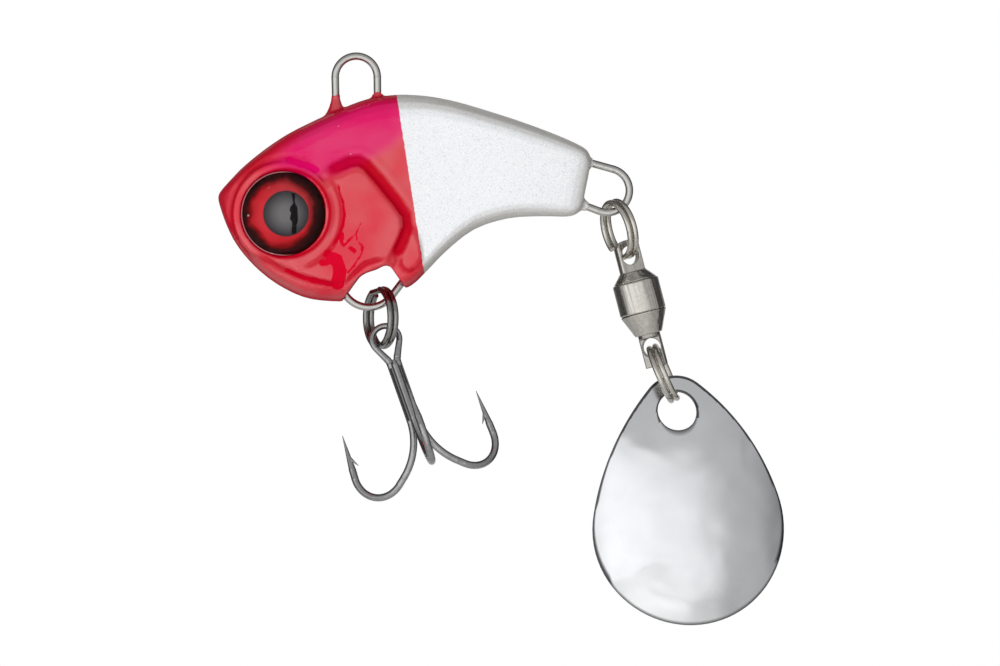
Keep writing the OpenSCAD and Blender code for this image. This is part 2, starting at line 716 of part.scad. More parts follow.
// Half of the dish's sweep, and half the depth of the cutters that trim it to the outline
dish_reach = 34;
cut_half = 20;

// Centre of the side arc that touches both end arcs from outside, on the side s
function side_centre(s) =
  let (
    a = side_arc_r - top_arc_r,
    b = side_arc_r - bottom_arc_r,
    z = (a * a - b * b + bottom_arc_z * bottom_arc_z) / (2 * bottom_arc_z)
  )
  [-s * sqrt(a * a - z * z), z];
module blade_outline() {
  c = side_centre(1);
  up = heading([0, 0] - c);
  low = heading([0, bottom_arc_z] - c);
  right = concat(
    arc([0, 0], top_arc_r, 90, up, 10),
    arc(c, side_arc_r, up, low, 12),
    arc([0, bottom_arc_z], bottom_arc_r, low, -90, 18)
  );
  n = len(right);
  polygon(concat(right, [for (i = [n - 2:-1:1]) [-right[i][0], right[i][1]]]));
}

// The sheet of the dish before it is trimmed, a turn of its own section about an axis behind it
module dish_sheet() {
  hub_r = dish_long_r - dish_cross_r;
  rotate([0, 0, 90]) rotate([90, 0, 0]) rotate([0, 0, 180 - dish_reach])
    rotate_extrude(angle = 2 * dish_reach) difference() {
      translate([hub_r, 0]) circle(r = dish_cross_r + blade_t / 2, $fn = 96);
      translate([hub_r, 0]) circle(r = dish_cross_r - blade_t / 2, $fn = 96);
      translate([0, -dish_cross_r - 1]) square([hub_r, 2 * dish_cross_r + 2]);
    }
}
module blade() {
  axis_y = sqrt(dish_long_r * dish_long_r - dish_z * dish_z);
  color("Gainsboro") hang(blade_at, blade_lean, blade_yaw) difference() {
    intersection() {
      translate([0, cut_half, 0]) rotate([90, 0, 0]) linear_extrude(2 * cut_half) blade_outline();
      translate([0, axis_y, dish_z]) dish_sheet();
    }
    translate([0, cut_half, 0]) rotate([90, 0, 0]) cylinder(h = 2 * cut_half, d = blade_hole_d);
  }
}

head_casting();
wire_harness();
eye_iris(1);  // left_eye_iris
eye_dome(1);  // left_eye_dome
eye_iris(-1);  // right_eye_iris
eye_dome(-1);  // right_eye_dome
belly_split_ring();
treble_double_hook();
treble_single_hook();
treble_braze();
tail_split_ring();
swivel_upper_lug();
swivel_barrel();
swivel_cap();
swivel_shaft();
blade_split_ring();
blade();
for (i = [1:ball_n])
  swivel_ball(i);
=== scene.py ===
"""Dresses a tail spinner lure: its enamelled casting, eyes, wire, rings, hook, swivel and blade."""

import logging
import math
from collections.abc import Sequence
from dataclasses import dataclass
from enum import Enum

import bmesh
import bpy
from mathutils import Matrix, Vector


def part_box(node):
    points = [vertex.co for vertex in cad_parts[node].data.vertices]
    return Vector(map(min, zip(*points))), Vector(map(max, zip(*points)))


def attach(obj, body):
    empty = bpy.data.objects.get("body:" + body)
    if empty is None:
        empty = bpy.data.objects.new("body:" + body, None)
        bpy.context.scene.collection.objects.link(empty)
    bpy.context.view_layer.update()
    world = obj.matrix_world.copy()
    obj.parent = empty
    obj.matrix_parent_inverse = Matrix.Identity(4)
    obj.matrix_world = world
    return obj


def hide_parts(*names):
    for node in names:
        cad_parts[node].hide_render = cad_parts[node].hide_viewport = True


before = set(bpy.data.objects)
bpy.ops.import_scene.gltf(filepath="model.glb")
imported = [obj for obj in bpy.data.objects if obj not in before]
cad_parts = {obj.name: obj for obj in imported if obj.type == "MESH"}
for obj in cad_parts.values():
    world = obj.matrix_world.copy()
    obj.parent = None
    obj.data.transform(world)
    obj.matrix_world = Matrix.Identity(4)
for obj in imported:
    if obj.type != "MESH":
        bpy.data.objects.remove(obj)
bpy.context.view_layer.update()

log = logging.getLogger("lure")
MM = 0.001
# Two corners of a CAD mesh nearer than this are one
WELD = 0.0005 * MM
# X and Z of the middle of both eyes, in millimetres
EYE_AT = (-6.58, -14.63)
# The axes that count for a distance as it looks from the side
SIDE_ON = (1.0, 0.0, 1.0)

Node = bpy.types.Node
Socket = bpy.types.NodeSocket
Material = bpy.types.Material
Piece = bpy.types.Object
Colour = tuple[float, float, float, float]
# A colour as an output, in linear light or as a hex code
Tint = Socket | Colour | str
# Two values of what is read, and the results at the first and at the second
Fade = tuple[float, float, float, float]
Pair = tuple[float, float]
Triple = tuple[float, float, float]


class Side(Enum):
    """A side of the fish, as the sign of its Y."""

    LEFT = -1
    RIGHT = 1


class Body(Enum):
    """The rigid bodies that pieces ride on."""

    HEAD = "head"
    BELLY_RING = "belly_ring"
    TREBLE = "treble"
    TAIL_RING = "tail_ring"
    SWIVEL = "swivel_case"
    SHAFT = "shaft"
    BALLS = "ball_race"
    BLADE_RING = "blade_ring"
    BLADE = "spinner"


# ---- Nodes and colours -------------------------------------------------------------------------
def linear(code: str) -> Colour:
    """Turns an sRGB hex colour to linear light.

    Args:
        code: six hex digits.

    Returns:
        Red, green, blue and an alpha of 1.
    """
    parts = [int(code[i : i + 2], 16) / 255 for i in (0, 2, 4)]
    light = [p / 12.92 if p <= 0.04045 else ((p + 0.055) / 1.055) ** 2.4 for p in parts]
    return (light[0], light[1], light[2], 1.0)


class Net:
    """A tree of nodes in the making, whose textures are drawn on one kind of coordinates."""

    def __init__(self, tree: bpy.types.NodeTree, kind: str = "Object") -> None:
        """Starts on a tree with its coordinates."""
        self.tree = tree
        self.coords = self.coordinates(kind)

    def feed(self, node: Node, inputs: dict[str | int, object]) -> None:
        """Feeds a node's inputs.

        Args:
            node: the node.
            inputs: names or numbers, each with an output to link, a hex colour or a plain value.
        """
        for slot, value in inputs.items():
            if isinstance(value, Socket):
                self.tree.links.new(value, node.inputs[slot])
            else:
                node.inputs[slot].default_value = linear(value) if isinstance(value, str) else value

    def add_node(self, kind: str, settings: dict[str | int, object] | None = None) -> Node:
        """Adds one node with its settings.

        Args:
            kind: Blender's name of the node type.
            settings: property names with their values, and inputs as feed takes them.

        Returns:
            The new node.
        """
        node = self.tree.nodes.new(kind)
        for name, value in (settings or {}).items():
            if isinstance(name, str) and hasattr(node, name):
                setattr(node, name, value)
            else:
                self.feed(node, {name: value})
        return node

    def coordinates(self, kind: str) -> Socket:
        """Adds texture coordinates of one kind."""
        return self.add_node("ShaderNodeTexCoord").outputs[kind]

    def axes(self, vector: Socket) -> dict[str, Socket]:
        """Adds a vector's coordinates, by the names X, Y and Z."""
        outputs = self.add_node("ShaderNodeSeparateXYZ", {0: vector}).outputs
        return {name: outputs[name] for name in "XYZ"}

    def attribute(self, name: str) -> Socket:
        """Adds a mesh attribute's value."""
        return self.add_node("ShaderNodeAttribute", {"attribute_name": name}).outputs["Fac"]

    def cells(self, size_mm: float) -> Node:
        """Adds a division of space into random cells of about one size."""
        settings = {"Vector": self.coords, "Scale": 1 / (size_mm * MM)}
        return self.add_node("ShaderNodeTexVoronoi", settings)

    def noise(
        self, size_mm: float, detail: float = 2.0, roughness: float = 0.5, swirl: float = 0.0
    ) -> Socket:
        """Adds a noise.

        Args:
            size_mm: about the size of its patches.
            detail: how many finer layers it has.
            roughness: their strength.
            swirl: how far it is distorted.

        Returns:
            Its output, 0 to 1.
        """
        settings = {"Vector": self.coords, "Scale": 1 / (size_mm * MM), "Detail": detail}
        settings |= {"Roughness": roughness, "Distortion": swirl}
        return self.add_node("ShaderNodeTexNoise", settings).outputs["Fac"]

    def placed(self, turn_deg: float, size: Triple, at: Triple = (0.0, 0.0, 0.0)) -> Socket:
        """Adds coordinates that place, turn and stretch whatever is drawn on them.

        Args:
            turn_deg: the turn about Y.
            size: length of one unit along each axis, in metres.
            at: the new origin, in metres.

        Returns:
            Their output.
        """
        turn = (0.0, math.radians(turn_deg), 0.0)
        settings = {"vector_type": "TEXTURE", "Vector": self.coords}
        settings |= {"Location": at, "Rotation": turn, "Scale": size}
        return self.add_node("ShaderNodeMapping", settings).outputs["Vector"]

    def streaks(self, turn_deg: float, size: Triple, detail: float) -> Socket:
        """Adds a noise that is drawn out.

        Args:
            turn_deg: its turn about Y.
            size: its size along each axis, in metres.
            detail: how many finer layers it has.

        Returns:
            Its output, 0 to 1.
        """
        settings = {"Vector": self.placed(turn_deg, size), "Scale": 1.0, "Detail": detail}
        return self.add_node("ShaderNodeTexNoise", settings).outputs["Fac"]

    def remap(
        self,
        value: Socket,
        start: float,
        end: float,
        low: float = 0.0,
        high: float = 1.0,
        smooth: bool = False,
    ) -> Socket:
        """Maps a value on to another range and clamps it.

        Args:
            value: the value's output.
            start: the value that gives low.
            end: the value that gives high.
            low: the result's first end.
            high: the result's other end.
            smooth: whether it eases in and out.

        Returns:
            The result's output.
        """
        settings = {"interpolation_type": "SMOOTHSTEP" if smooth else "LINEAR", "Value": value}
        settings |= {"From Min": start, "From Max": end, "To Min": low, "To Max": high}
        return self.add_node("ShaderNodeMapRange", settings).outputs[0]

    def maths(self, operation: str, *terms: Socket | float) -> Socket:
        """Adds a calculation on outputs and numbers, by Blender's name of it."""
        settings = {"operation": operation, **dict(enumerate(terms))}
        return self.add_node("ShaderNodeMath", settings).outputs[0]

    def product(self, *shares: Socket) -> Socket:
        """Multiplies outputs with one another.

        Args:
            shares: the outputs.

        Returns:
            The product's output.
        """
        result = shares[0]
        for share in shares[1:]:
            result = self.maths("MULTIPLY", result, share)
        return result

    def vector_maths(self, operation: str, *terms: Socket | Triple) -> Socket:
        """Adds a calculation on vectors.

        Args:
            operation: Blender's name of it.
            terms: its operands.

        Returns:
            The result's output: a number for a length or a dot product, or else a vector.
        """
        settings = {"operation": operation, **dict(enumerate(terms))}
        kind = "Value" if operation in ("LENGTH", "DOT_PRODUCT") else "Vector"
        return self.add_node("ShaderNodeVectorMath", settings).outputs[kind]

    def reach(self, vector: Socket, axes: Triple) -> Socket:
        """Adds a vector's length along those axes that are given as 1."""
        return self.vector_maths("LENGTH", self.vector_maths("MULTIPLY", vector, axes))

    def blend(self, share: Socket | float, first: Tint, second: Tint, mode: str = "MIX") -> Socket:
        """Mixes two colours.

        Args:
            share: how much of the second there is.
            first: the first colour.
            second: the second colour.
            mode: Blender's name of the way to mix.

        Returns:
            The colour's output.
        """
        settings = {"data_type": "RGBA", "blend_type": mode, 0: share, 6: first, 7: second}
        return self.add_node("ShaderNodeMix", settings).outputs[2]

    def ramp(self, share: Socket, stops: Sequence[tuple[float, str]]) -> Socket:
        """Adds a run of colours.

        Args:
            share: where on the run it is read.
            stops: position and hex colour of each stop, in rising order.

        Returns:
            The colour's output.
        """
        node = self.add_node("ShaderNodeValToRGB", {"Fac": share})
        elements = node.color_ramp.elements
        while len(elements) < len(stops):
            elements.new(1.0)
        for element, (place, code) in zip(elements, stops):
            element.position = place
            element.color = linear(code)
        return node.outputs["Color"]

    def relief(
        self,
        height: Socket,
        strength: float,
        depth_mm: float,
        normal: Socket | None = None,
        invert: bool = False,
    ) -> Socket:
        """Tilts the surface as a height would.

        Args:
            height: the height's output, 0 to 1.
            strength: share of the effect.
            depth_mm: the height of 1 in millimetres.
            normal: a normal to start from.
            invert: whether it digs in.

        Returns:
            The normal's output.
        """
        settings = {"invert": invert, "Height": height, "Strength": strength}
        settings |= {"Distance": depth_mm * MM, **({"Normal": normal} if normal else {})}
        return self.add_node("ShaderNodeBump", settings).outputs["Normal"]


def start_material(name: str) -> tuple[Material, Net, Node]:
    """Starts a material on one Principled shader.

    Args:
        name: the material's name.

    Returns:
        The material, its nodes and its shader.
    """
    material = bpy.data.materials.new(name)
    material.use_nodes = True
    return material, Net(material.node_tree), material.node_tree.nodes["Principled BSDF"]


# ---- Finishes ----------------------------------------------------------------------------------
@dataclass(frozen=True)
class BodyEnamel:
    """Sprayed enamel under clear lacquer: a crimson head and a pearl rear.

    Magenta is airbrushed over the eye. The lacquer is thick and a little wavy, so the edges of a
    reflection wander over it. It has run below the eye, where the bare enamel shows deeper, and it
    holds a little dust.
    """

    crimson: str = "D60C30"
    crimson_deep: str = "C6041E"
    # Painted shade: deeper crimson in the valleys and round the eye's socket, partly pooled enamel
    pooled_shade_red: str = "B0001C"
    # Painted shade along the ridge, where the surface turns away
    ridge_shade_red: str = "BE1630"
    magenta: str = "D60A60"
    pearl: str = "E8E9EB"
    pearl_shade: str = "C2C9D6"
    dust: str = "F2D8DC"
    blotch_mm: float = 5.0
    flake_mm: float = 0.09
    wave_mm: float = 4.2
    dust_mm: float = 0.05
    # Size of the cells that hold one grain of dust each
    dust_cell_mm: float = 2.3
    # The masking line between the two colours, from the back to the belly, how far it wanders
    # and its half width
    mask_top: Pair = (3.87, -3.45)
    mask_foot: Pair = (6.42, -19.83)
    mask_rag_mm: float = 0.16
    mask_soft_mm: float = 0.03
    # Middle, half length, half height and tilt of the magenta cloud
    cloud_at: Pair = (-0.9, -7.7)
    cloud_size: Pair = (7.4, 2.5)
    cloud_tilt_deg: float = 24.0
    # How strong the magenta is, by the distance from the cloud's middle
    mist: Fade = (1.3, 0.75, 0.0, 1.0)
    # Half thicknesses of the casting between which its ridge is painted darker and darker, as
    # painted shade where the surface turns away
    ridge_shade_mm: Pair = (3.0, 1.9)
    ridge_shade_share: float = 0.75
    # Size of the patches in which the lacquer lies thicker or thinner
    patch_mm: float = 5.0
    # X between which the lacquer grows to its whole thickness, and the share that it grows from
    coat_x_mm: Pair = (4.5, 11.0)
    coat_share: float = 0.3
    # How much of the lacquer is left: along a torn run, where the surface turns away, in a pool,
    # in a patch and towards the middle of the cloud
    torn_fade: Fade = (1.02, 0.92, 0.0, 1.0)
    outline_fade: Fade = (0.6, 0.86, 1.0, 0.1)
    pool_fade: Fade = (0.0, 0.7, 1.0, 0.04)
    patch_fade: Fade = (0.38, 0.58, 0.5, 1.0)
    cloud_fade: Fade = (1.25, 0.7, 1.0, 0.4)

    def cloud(self, net: Net) -> Socket:
        """Adds the distance from the middle of the magenta cloud.

        Args:
            net: the nodes.

        Returns:
            The distance's socket, 1 on the cloud's outline.
        """
        (x, z), (length, height) = self.cloud_at, self.cloud_size
        size, at = (length * MM, 1.0, height * MM), (x * MM, 0.0, z * MM)
        return net.vector_maths("LENGTH", net.placed(-self.cloud_tilt_deg, size, at))

    def rear_share(self, net: Net) -> Socket:
        """Adds the mask of the pearl rear, whose edge has the small raggedness of a taped line.

        Args:
            net: the nodes.

        Returns:
            The mask's socket, 1 behind the masking line.
        """
        top = Vector(self.mask_top)
        run = (Vector(self.mask_foot) - top).normalized()
        across = Vector((-run.y, run.x))
        plane = net.vector_maths("DOT_PRODUCT", net.coords, (across.x, 0.0, across.y))
        ragged = net.maths("MULTIPLY_ADD", net.noise(0.4), self.mask_rag_mm * MM, plane)
        edge = across.dot(top) + self.mask_rag_mm / 2
        first, last = (edge + sign * self.mask_soft_mm for sign in (-1, 1))
        return net.remap(ragged, first * MM, last * MM)

    def head_tone(self, net: Net) -> Socket:
        """Adds the colour of the head: blotchy crimson, painted shade along the ridge and in the
        valleys, and magenta.

        Args:
            net: the nodes.

        Returns:
            The colour's socket.
        """
        blotch = net.noise(self.blotch_mm)
        red = net.blend(blotch, self.crimson, self.crimson_deep)
        mist = net.remap(self.cloud(net), *self.mist, smooth=True)
        sprayed = net.blend(mist, red, self.magenta)
        # Painted shade: darker red along the ridge, where the surface turns away
        half = net.maths("ABSOLUTE", net.axes(net.coords)["Y"])
        first, last = (reach * MM for reach in self.ridge_shade_mm)
        ridge_shade = net.remap(half, first, last, 0.0, self.ridge_shade_share, smooth=True)
        ridge_shaded = net.blend(ridge_shade, sprayed, self.ridge_shade_red)
        # Deeper crimson in the valleys and round the eye's socket: partly wet enamel gathered
        # there, partly painted shade
        return net.blend(net.attribute("pool"), ridge_shaded, self.pooled_shade_red)

    def lacquer_share(self, net: Net, rear: Socket) -> Socket:
        """Adds how thick the lacquer lies: none where it has run away, with torn edges.

        Args:
            net: the nodes.
            rear: the mask of the pearl rear.

        Returns:
            The share's socket, 1 where the lacquer is whole.
        """
        tear = net.noise(0.8, 3.0, swirl=0.6)
        torn = net.maths("MULTIPLY_ADD", tear, 0.9, net.attribute("bare"))
        whole = net.remap(torn, *self.torn_fade)
        # The lacquer is thinnest where the surface turns away at the outline
        facing = net.add_node("ShaderNodeLayerWeight", {"Blend": 0.5}).outputs["Facing"]
        kept = net.remap(facing, *self.outline_fade)
        # Deep pools have dried dull, and elsewhere it lies in patches
        dull = net.remap(net.attribute("pool"), *self.pool_fade)
        patchy = net.remap(net.noise(self.patch_mm), *self.patch_fade)
        # The clear coat was sprayed from the tail, thinner towards the masking line
        first, last = (x * MM for x in self.coat_x_mm)
        along = net.remap(net.axes(net.coords)["X"], first, last, self.coat_share)
        coated = net.add_node("ShaderNodeMix", {0: rear, 2: patchy, 3: along}).outputs[0]
        # The magenta went on last, with hardly any lacquer over it
        late = net.remap(self.cloud(net), *self.cloud_fade, smooth=True)
        return net.product(whole, kept, dull, coated, late)

    def build(self) -> Material:
        """Builds the material.

        Returns:
            The new material.
        """
        material, net, shader = start_material("sprayed_enamel")
        rear = self.rear_share(net)
        # Mica flakes catch the light one by one, drawn three times as coarse as real ones
        flakes = net.cells(self.flake_mm).outputs
        shades = [(0.0, self.pearl_shade), (0.35, self.pearl), (0.8, self.pearl), (1.0, "FFFFFF")]
        pearl = net.ramp(flakes["Color"], shades)
        # Painted shade: the pearl is drawn darker and warmer where the surface turns away from the
        # flanks
        flat = net.maths("ABSOLUTE", net.axes(net.coordinates("Normal"))["Y"])
        turn_shades = [(0.45, "E0DCD5"), (0.85, "EBE9E6"), (0.96, "EEEEED"), (0.996, "FFFFFF")]
        shaded_pearl = net.blend(1.0, pearl, net.ramp(flat, turn_shades), mode="MULTIPLY")
        colour = net.blend(rear, self.head_tone(net), shaded_pearl)
        specks = net.cells(self.dust_cell_mm).outputs["Distance"]
        grain = self.dust_mm / self.dust_cell_mm
        dusty = net.blend(net.remap(specks, grain, 0.6 * grain, 0.0, 0.6), colour, self.dust)
        # Waves of the lacquer, and the flakes' own slight tilt under it
        wave = net.noise(self.wave_mm, 3.0, roughness=0.4)
        inputs = {
            "Base Color": dusty,
            "Normal": net.relief(flakes["Distance"], 0.25, 0.02),
            "Roughness": 0.5,
            # Pigment bedded in resin has no surface of its own to mirror with
            "Specular IOR Level": 0.0,
            "Coat Weight": self.lacquer_share(net, rear),
            "Coat Normal": net.relief(wave, 0.6, 0.3),
            "Coat Roughness": 0.03,
            "Coat IOR": 2.0,
        }
        net.feed(shader, inputs)
        return material


@dataclass(frozen=True)
class Metal:
    """A bare or plated metal: its colour, its polish and the fine marks of making and handling."""

    name: str
    colour: str
    shade: str
    roughness: float
    mark_mm: float = 0.3
    mark_depth_mm: float = 0.006
    # Pressing lines along an axis in the X-Z plane: its lean, their width and their depth
    line_lean_deg: float = 0.0
    line_mm: float = 0.9
    line_depth_mm: float = 0.0
    # How many times as long as wide a pressing line is
    line_reach: float = 14.0
    # The roughness of its smoothest and its roughest places, as shares of the whole
    spread: Pair = (0.7, 1.4)

    def build(self) -> Material:
        """Builds the material.

        Returns:
            The new material.
        """
        material, net, shader = start_material(self.name)
        marks = net.noise(self.mark_mm, 4.0)
        pressed = None
        if self.line_depth_mm:
            width = self.line_mm * MM
            size = (width, width, self.line_reach * width)
            lines = net.streaks(self.line_lean_deg, size, 2.0)
            pressed = net.relief(lines, 1.0, self.line_depth_mm)
        low, high = (share * self.roughness for share in self.spread)
        inputs = {
            "Base Color": net.blend(marks, self.shade, self.colour),
            "Roughness": net.remap(marks, 0.0, 1.0, low, high),
            "Normal": net.relief(marks, 0.4, self.mark_depth_mm, pressed),
            "Metallic": 1.0,
        }
        net.feed(shader, inputs)
        return material


HARNESS_WIRE = Metal("drawn_stainless_wire", "D0CFCC", "B6B4B0", 0.17)
RING_WIRE = Metal("polished_spring_steel", "DEDAD3", "C6C2BA", 0.15)
# Painted shade: a darker copy of the ring steel, for the belly ring's dark reflections
SHADED_RING_WIRE = Metal("shaded_spring_steel", "A6A5A3", "868583", 0.14)
HOOK_WIRE = Metal("black_nickel_plate", "BCBCBE", "929294", 0.12)
SWIVEL_METAL = Metal(
    "drawn_nickel_plate", "E2DFD9", "B8B3AC", 0.2, line_lean_deg=-15.0, line_depth_mm=0.2
)
# Painted shade: a darker, rougher copy of the swivel's plate, for the partly shaded lower lug
SHADED_SHAFT_METAL = Metal(
    "shaded_stamped_nickel_plate", "C2BFBA", "98948E", 0.26, line_lean_deg=-12.0, line_depth_mm=0.2
)
BALL_STEEL = Metal("ground_ball_steel", "C8C8CA", "BABABC", 0.08)


@dataclass(frozen=True)
class BladePlate:
    """Nickel plate over pressed brass: a mirror with shallow hollows, fine scratches and a rim
    painted dark as a reflection.
    """

    colour: str = "F0F1F3"
    tarnish: str = "DCDDE0"
    # Painted reflection: the dark that the rim mirrors
    rim: str = "5C5C60"
    haze_mm: float = 3.0
    # Roughness without and with haze
    polish: Pair = (0.12, 0.22)
    hollow_mm: float = 5.5
    hollow_depth_mm: float = 0.45
    scratch_mm: float = 0.12
    scratch_depth_mm: float = 0.006
    # The heights of the noise between which a scratch deepens
    crest: Pair = (0.7, 0.78)
    # Turn of each set of scratches, and how many times as long as wide they are
    scratch_sets: tuple[Pair, ...] = ((28.0, 40.0), (-52.0, 25.0))

    def build(self) -> Material:
        """Builds the material.

        Returns:
            The new material.
        """
        material, net, shader = start_material("polished_nickel_plate")
        haze = net.noise(self.haze_mm, 5.0)
        tone = net.blend(haze, self.tarnish, self.colour)
        hollows = net.noise(self.hollow_mm, 1.2, swirl=0.3)
        normal = net.relief(hollows, 0.7, self.hollow_depth_mm)
        # Scratches: a drawn-out noise, of which the crests are kept
        for turn_deg, reach in self.scratch_sets:
            size = (self.scratch_mm * MM, 1.0, self.scratch_mm * reach * MM)
            cut = net.remap(net.streaks(turn_deg, size, 1.0), *self.crest)
            normal = net.relief(cut, 0.2, self.scratch_depth_mm, normal, invert=True)
        inputs = {
            # Painted reflection: the rim is drawn dark, as the dark sides that it mirrors
            "Base Color": net.blend(net.attribute("cut"), tone, self.rim),
            "Roughness": net.remap(haze, 0.0, 1.0, *self.polish),
            "Normal": normal,
            "Metallic": 1.0,
        }
        net.feed(shader, inputs)
        return material


@dataclass(frozen=True)
class EyeFoil:
    """Printed foil: a red iris on a dark ground that is partly painted reflection, a grey pupil
    with a ragged slit, a lip painted pale as a highlight, and painted glints.
    """

    ink: str = "3A3A40"
    pupil_middle_grey: str = "86888A"
    slit_ink: str = "020202"
    worn_red: str = "CE565C"
    # Painted highlight on the foil's lip
    bare_foil: str = "B46A70"
    # Painted glints on grains of glitter
    glint_white: str = "FFE8E8"
    # The iris reds, darkening outwards into the ground: partly print, partly a painted dark
    # reflection of the lens's steep sides
    iris_reds_into_shade: tuple[tuple[float, str], ...] = (
        (0.0, "FF3A46"), (0.35, "F02634"), (0.52, "B80010"), (0.7, "520004"), (1.0, "260002")
    )
    pupil_r: float = 1.98
    iris_r: float = 3.0
    lip_r: float = 3.89
    # Half width of the pupil's printed edge, and the width of the lip's edge
    print_soft: float = 0.04
    lip_soft: float = 0.03
    # The iris is printed a little towards the nose
    iris_shift: float = -0.45
    slit_at: float = 0.66
    slit_reach: float = 1.78
    # Half widths of the slit from its foot to its top
    slit_halves: tuple[float, ...] = (0.1, 0.26, 0.2, 0.3, 0.27, 0.36, 0.1, 0.13, 0.13)
    slit_rag_mm: float = 0.5
    iris_rag_mm: float = 1.4
    # The red ink is worn thin this way from the middle, over this distance, up to this share
    wear_way: Triple = (0.75, 0.0, 0.65)
    wear_mm: Pair = (-0.5, 2.5)
    wear_share: float = 0.6
    # About one painted glint, a grain of glitter, in each square of this size
    glint_mm: float = 1.1

    def centred(self, net: Net, shift: float = 0.0) -> Socket:
        """Adds coordinates from the middle of the eye.

        Args:
            net: the nodes.
            shift: how far the middle is moved towards the tail, in millimetres.

        Returns:
            Their socket.
        """
        middle = ((EYE_AT[0] + shift) * MM, 0.0, EYE_AT[1] * MM)
        return net.vector_maths("SUBTRACT", net.coords, middle)

    def slit(self, net: Net, centred: Socket) -> Socket:
        """Adds the mask of the ragged slit behind the pupil's middle.

        Args:
            net: the nodes.
            centred: coordinates from the eye's middle.

        Returns:
            The mask's socket, 1 outside the slit.
        """
        parts = net.axes(centred)
        reach = self.slit_reach * MM
        height = net.remap(parts["Z"], -reach, reach)
        widths = net.add_node("ShaderNodeFloatCurve", {"Value": height})
        curve = widths.mapping.curves[0]
        last = len(self.slit_halves) - 1
        curve.points[0].location = (0.0, self.slit_halves[0])
        curve.points[1].location = (1.0, self.slit_halves[last])
        for step in range(1, last):
            curve.points.new(step / last, self.slit_halves[step])
        widths.mapping.update()
        tear = net.noise(0.5, 4.0)
        shifted = net.maths("MULTIPLY_ADD", tear, self.slit_rag_mm * MM, parts["X"])
        off = net.maths("SUBTRACT", shifted, (self.slit_at + self.slit_rag_mm / 2) * MM)
        away = net.maths("ABSOLUTE", off)
        beyond = net.maths("MULTIPLY_ADD", widths.outputs[0], -MM, away)
        side = net.remap(beyond, -0.02 * MM, 0.03 * MM)
        level = net.maths("ABSOLUTE", parts["Z"])
        end = net.remap(level, reach - 0.05 * MM, reach)
        return net.maths("MAXIMUM", side, end)

    def iris(self, net: Net, centred: Socket) -> Socket:
        """Adds the colour of the iris, whose edge melts unevenly into the dark ground: partly
        print, partly a painted dark reflection of the lens's steep sides.

        Args:
            net: the nodes.
            centred: coordinates from the eye's middle.

        Returns:
            The colour's socket.
        """
        mottle = net.noise(1.5, 4.0)
        printed = net.reach(self.centred(net, self.iris_shift), SIDE_ON)
        spread = net.maths("MULTIPLY_ADD", mottle, self.iris_rag_mm * MM, printed)
        ring = net.remap(spread, (self.pupil_r + 0.5) * MM, (self.iris_r + 1.3) * MM)
        # The red ink is worn thin over the silver at the top and towards the tail
        side = net.vector_maths("DOT_PRODUCT", centred, self.wear_way)
        first, last = (reach * MM for reach in self.wear_mm)
        worn = net.remap(side, first, last, 0.0, self.wear_share)
        inked = net.remap(ring, 0.75, 0.3)
        return net.blend(net.product(worn, inked), net.ramp(ring, self.iris_reds_into_shade), self.worn_red)

    def build(self) -> Material:
        """Builds the material.

        Returns:
            The new material.
        """
        material, net, shader = start_material("printed_foil")
        centred = self.centred(net)
        radius = net.reach(centred, SIDE_ON)
        # The pupil's grey is lighter towards its middle
        lighter_middle = net.remap(radius, self.pupil_r * MM, 0.3 * self.pupil_r * MM)
        ink = net.blend(lighter_middle, self.ink, self.pupil_middle_grey)
        pupil = net.blend(self.slit(net, centred), self.slit_ink, ink)
        first, last = (self.pupil_r + sign * self.print_soft for sign in (-1, 1))
        edge = net.remap(radius, first * MM, last * MM)
        printed = net.blend(edge, pupil, self.iris(net, centred))
        # Painted highlight: the foil's lip is drawn pale pink, as the bright line round the lens's
        # edge
        lip = net.remap(radius, self.lip_r * MM, (self.lip_r + self.lip_soft) * MM)
        edged = net.blend(lip, printed, self.bare_foil)
        # Painted glints: grains of glitter shed by the foil, drawn bright as they catch the light
        grains = net.cells(self.glint_mm).outputs["Distance"]
        inputs = {
            "Base Color": net.blend(net.remap(grains, 0.1, 0.06), edged, self.glint_white),
            # The resin above it has nearly its own IOR, so the foil hardly mirrors
            "Specular IOR Level": 0.1,
            "Roughness": 0.4,
        }
        net.feed(shader, inputs)
        return material


@dataclass(frozen=True)
class LensResin:
    """Clear cast resin, smoothed by its own surface tension until it mirrors like glass."""

    tint: str = "FDF6F6"
    # It is bedded without air, so less comes back from it than from a loose lens
    gleam: str = "7A7A7A"
    sag_mm: float = 2.5
    sag_depth_mm: float = 0.06
    ior: float = 1.4

    def build(self) -> Material:
        """Builds the material.

        Returns:
            The new material.
        """
        material, net, shader = start_material("clear_cast_resin")
        sag = net.noise(self.sag_mm)
        inputs = {
            "Base Color": self.tint,
            "Normal": net.relief(sag, 0.3, self.sag_depth_mm),
            "Transmission Weight": 1.0,
            "Roughness": 0.0,
            "IOR": self.ior,
            "Specular Tint": self.gleam,
        }
        net.feed(shader, inputs)
        return material


# ---- Meshes ------------------------------------------------------------------------------------
# Edges that turn more than this stay sharp
CREASE_DEG = 35.0
# An angle that no edge reaches, so that none stays sharp
ALL_SOFT_DEG = 180.0


def finish_piece(
    work: bmesh.types.BMesh, name: str, finish: Material, crease_deg: float = CREASE_DEG
) -> Piece:
    """Turns a bmesh into a smooth-shaded piece of the scene.

    Args:
        work: the mesh, in metres and in place. It is freed.
        name: the piece's name.
        finish: its material.
        crease_deg: edges that turn more than this stay sharp.

    Returns:
        The new object.
    """
    for face in work.faces:
        face.smooth = True
    for edge in work.edges:
        edge.smooth = edge.calc_face_angle(0.0) < math.radians(crease_deg)
    mesh = bpy.data.meshes.new(name)
    work.to_mesh(mesh)
    work.free()
    mesh.materials.append(finish)
    piece = bpy.data.objects.new(name, mesh)
    bpy.context.scene.collection.objects.link(piece)
    return piece


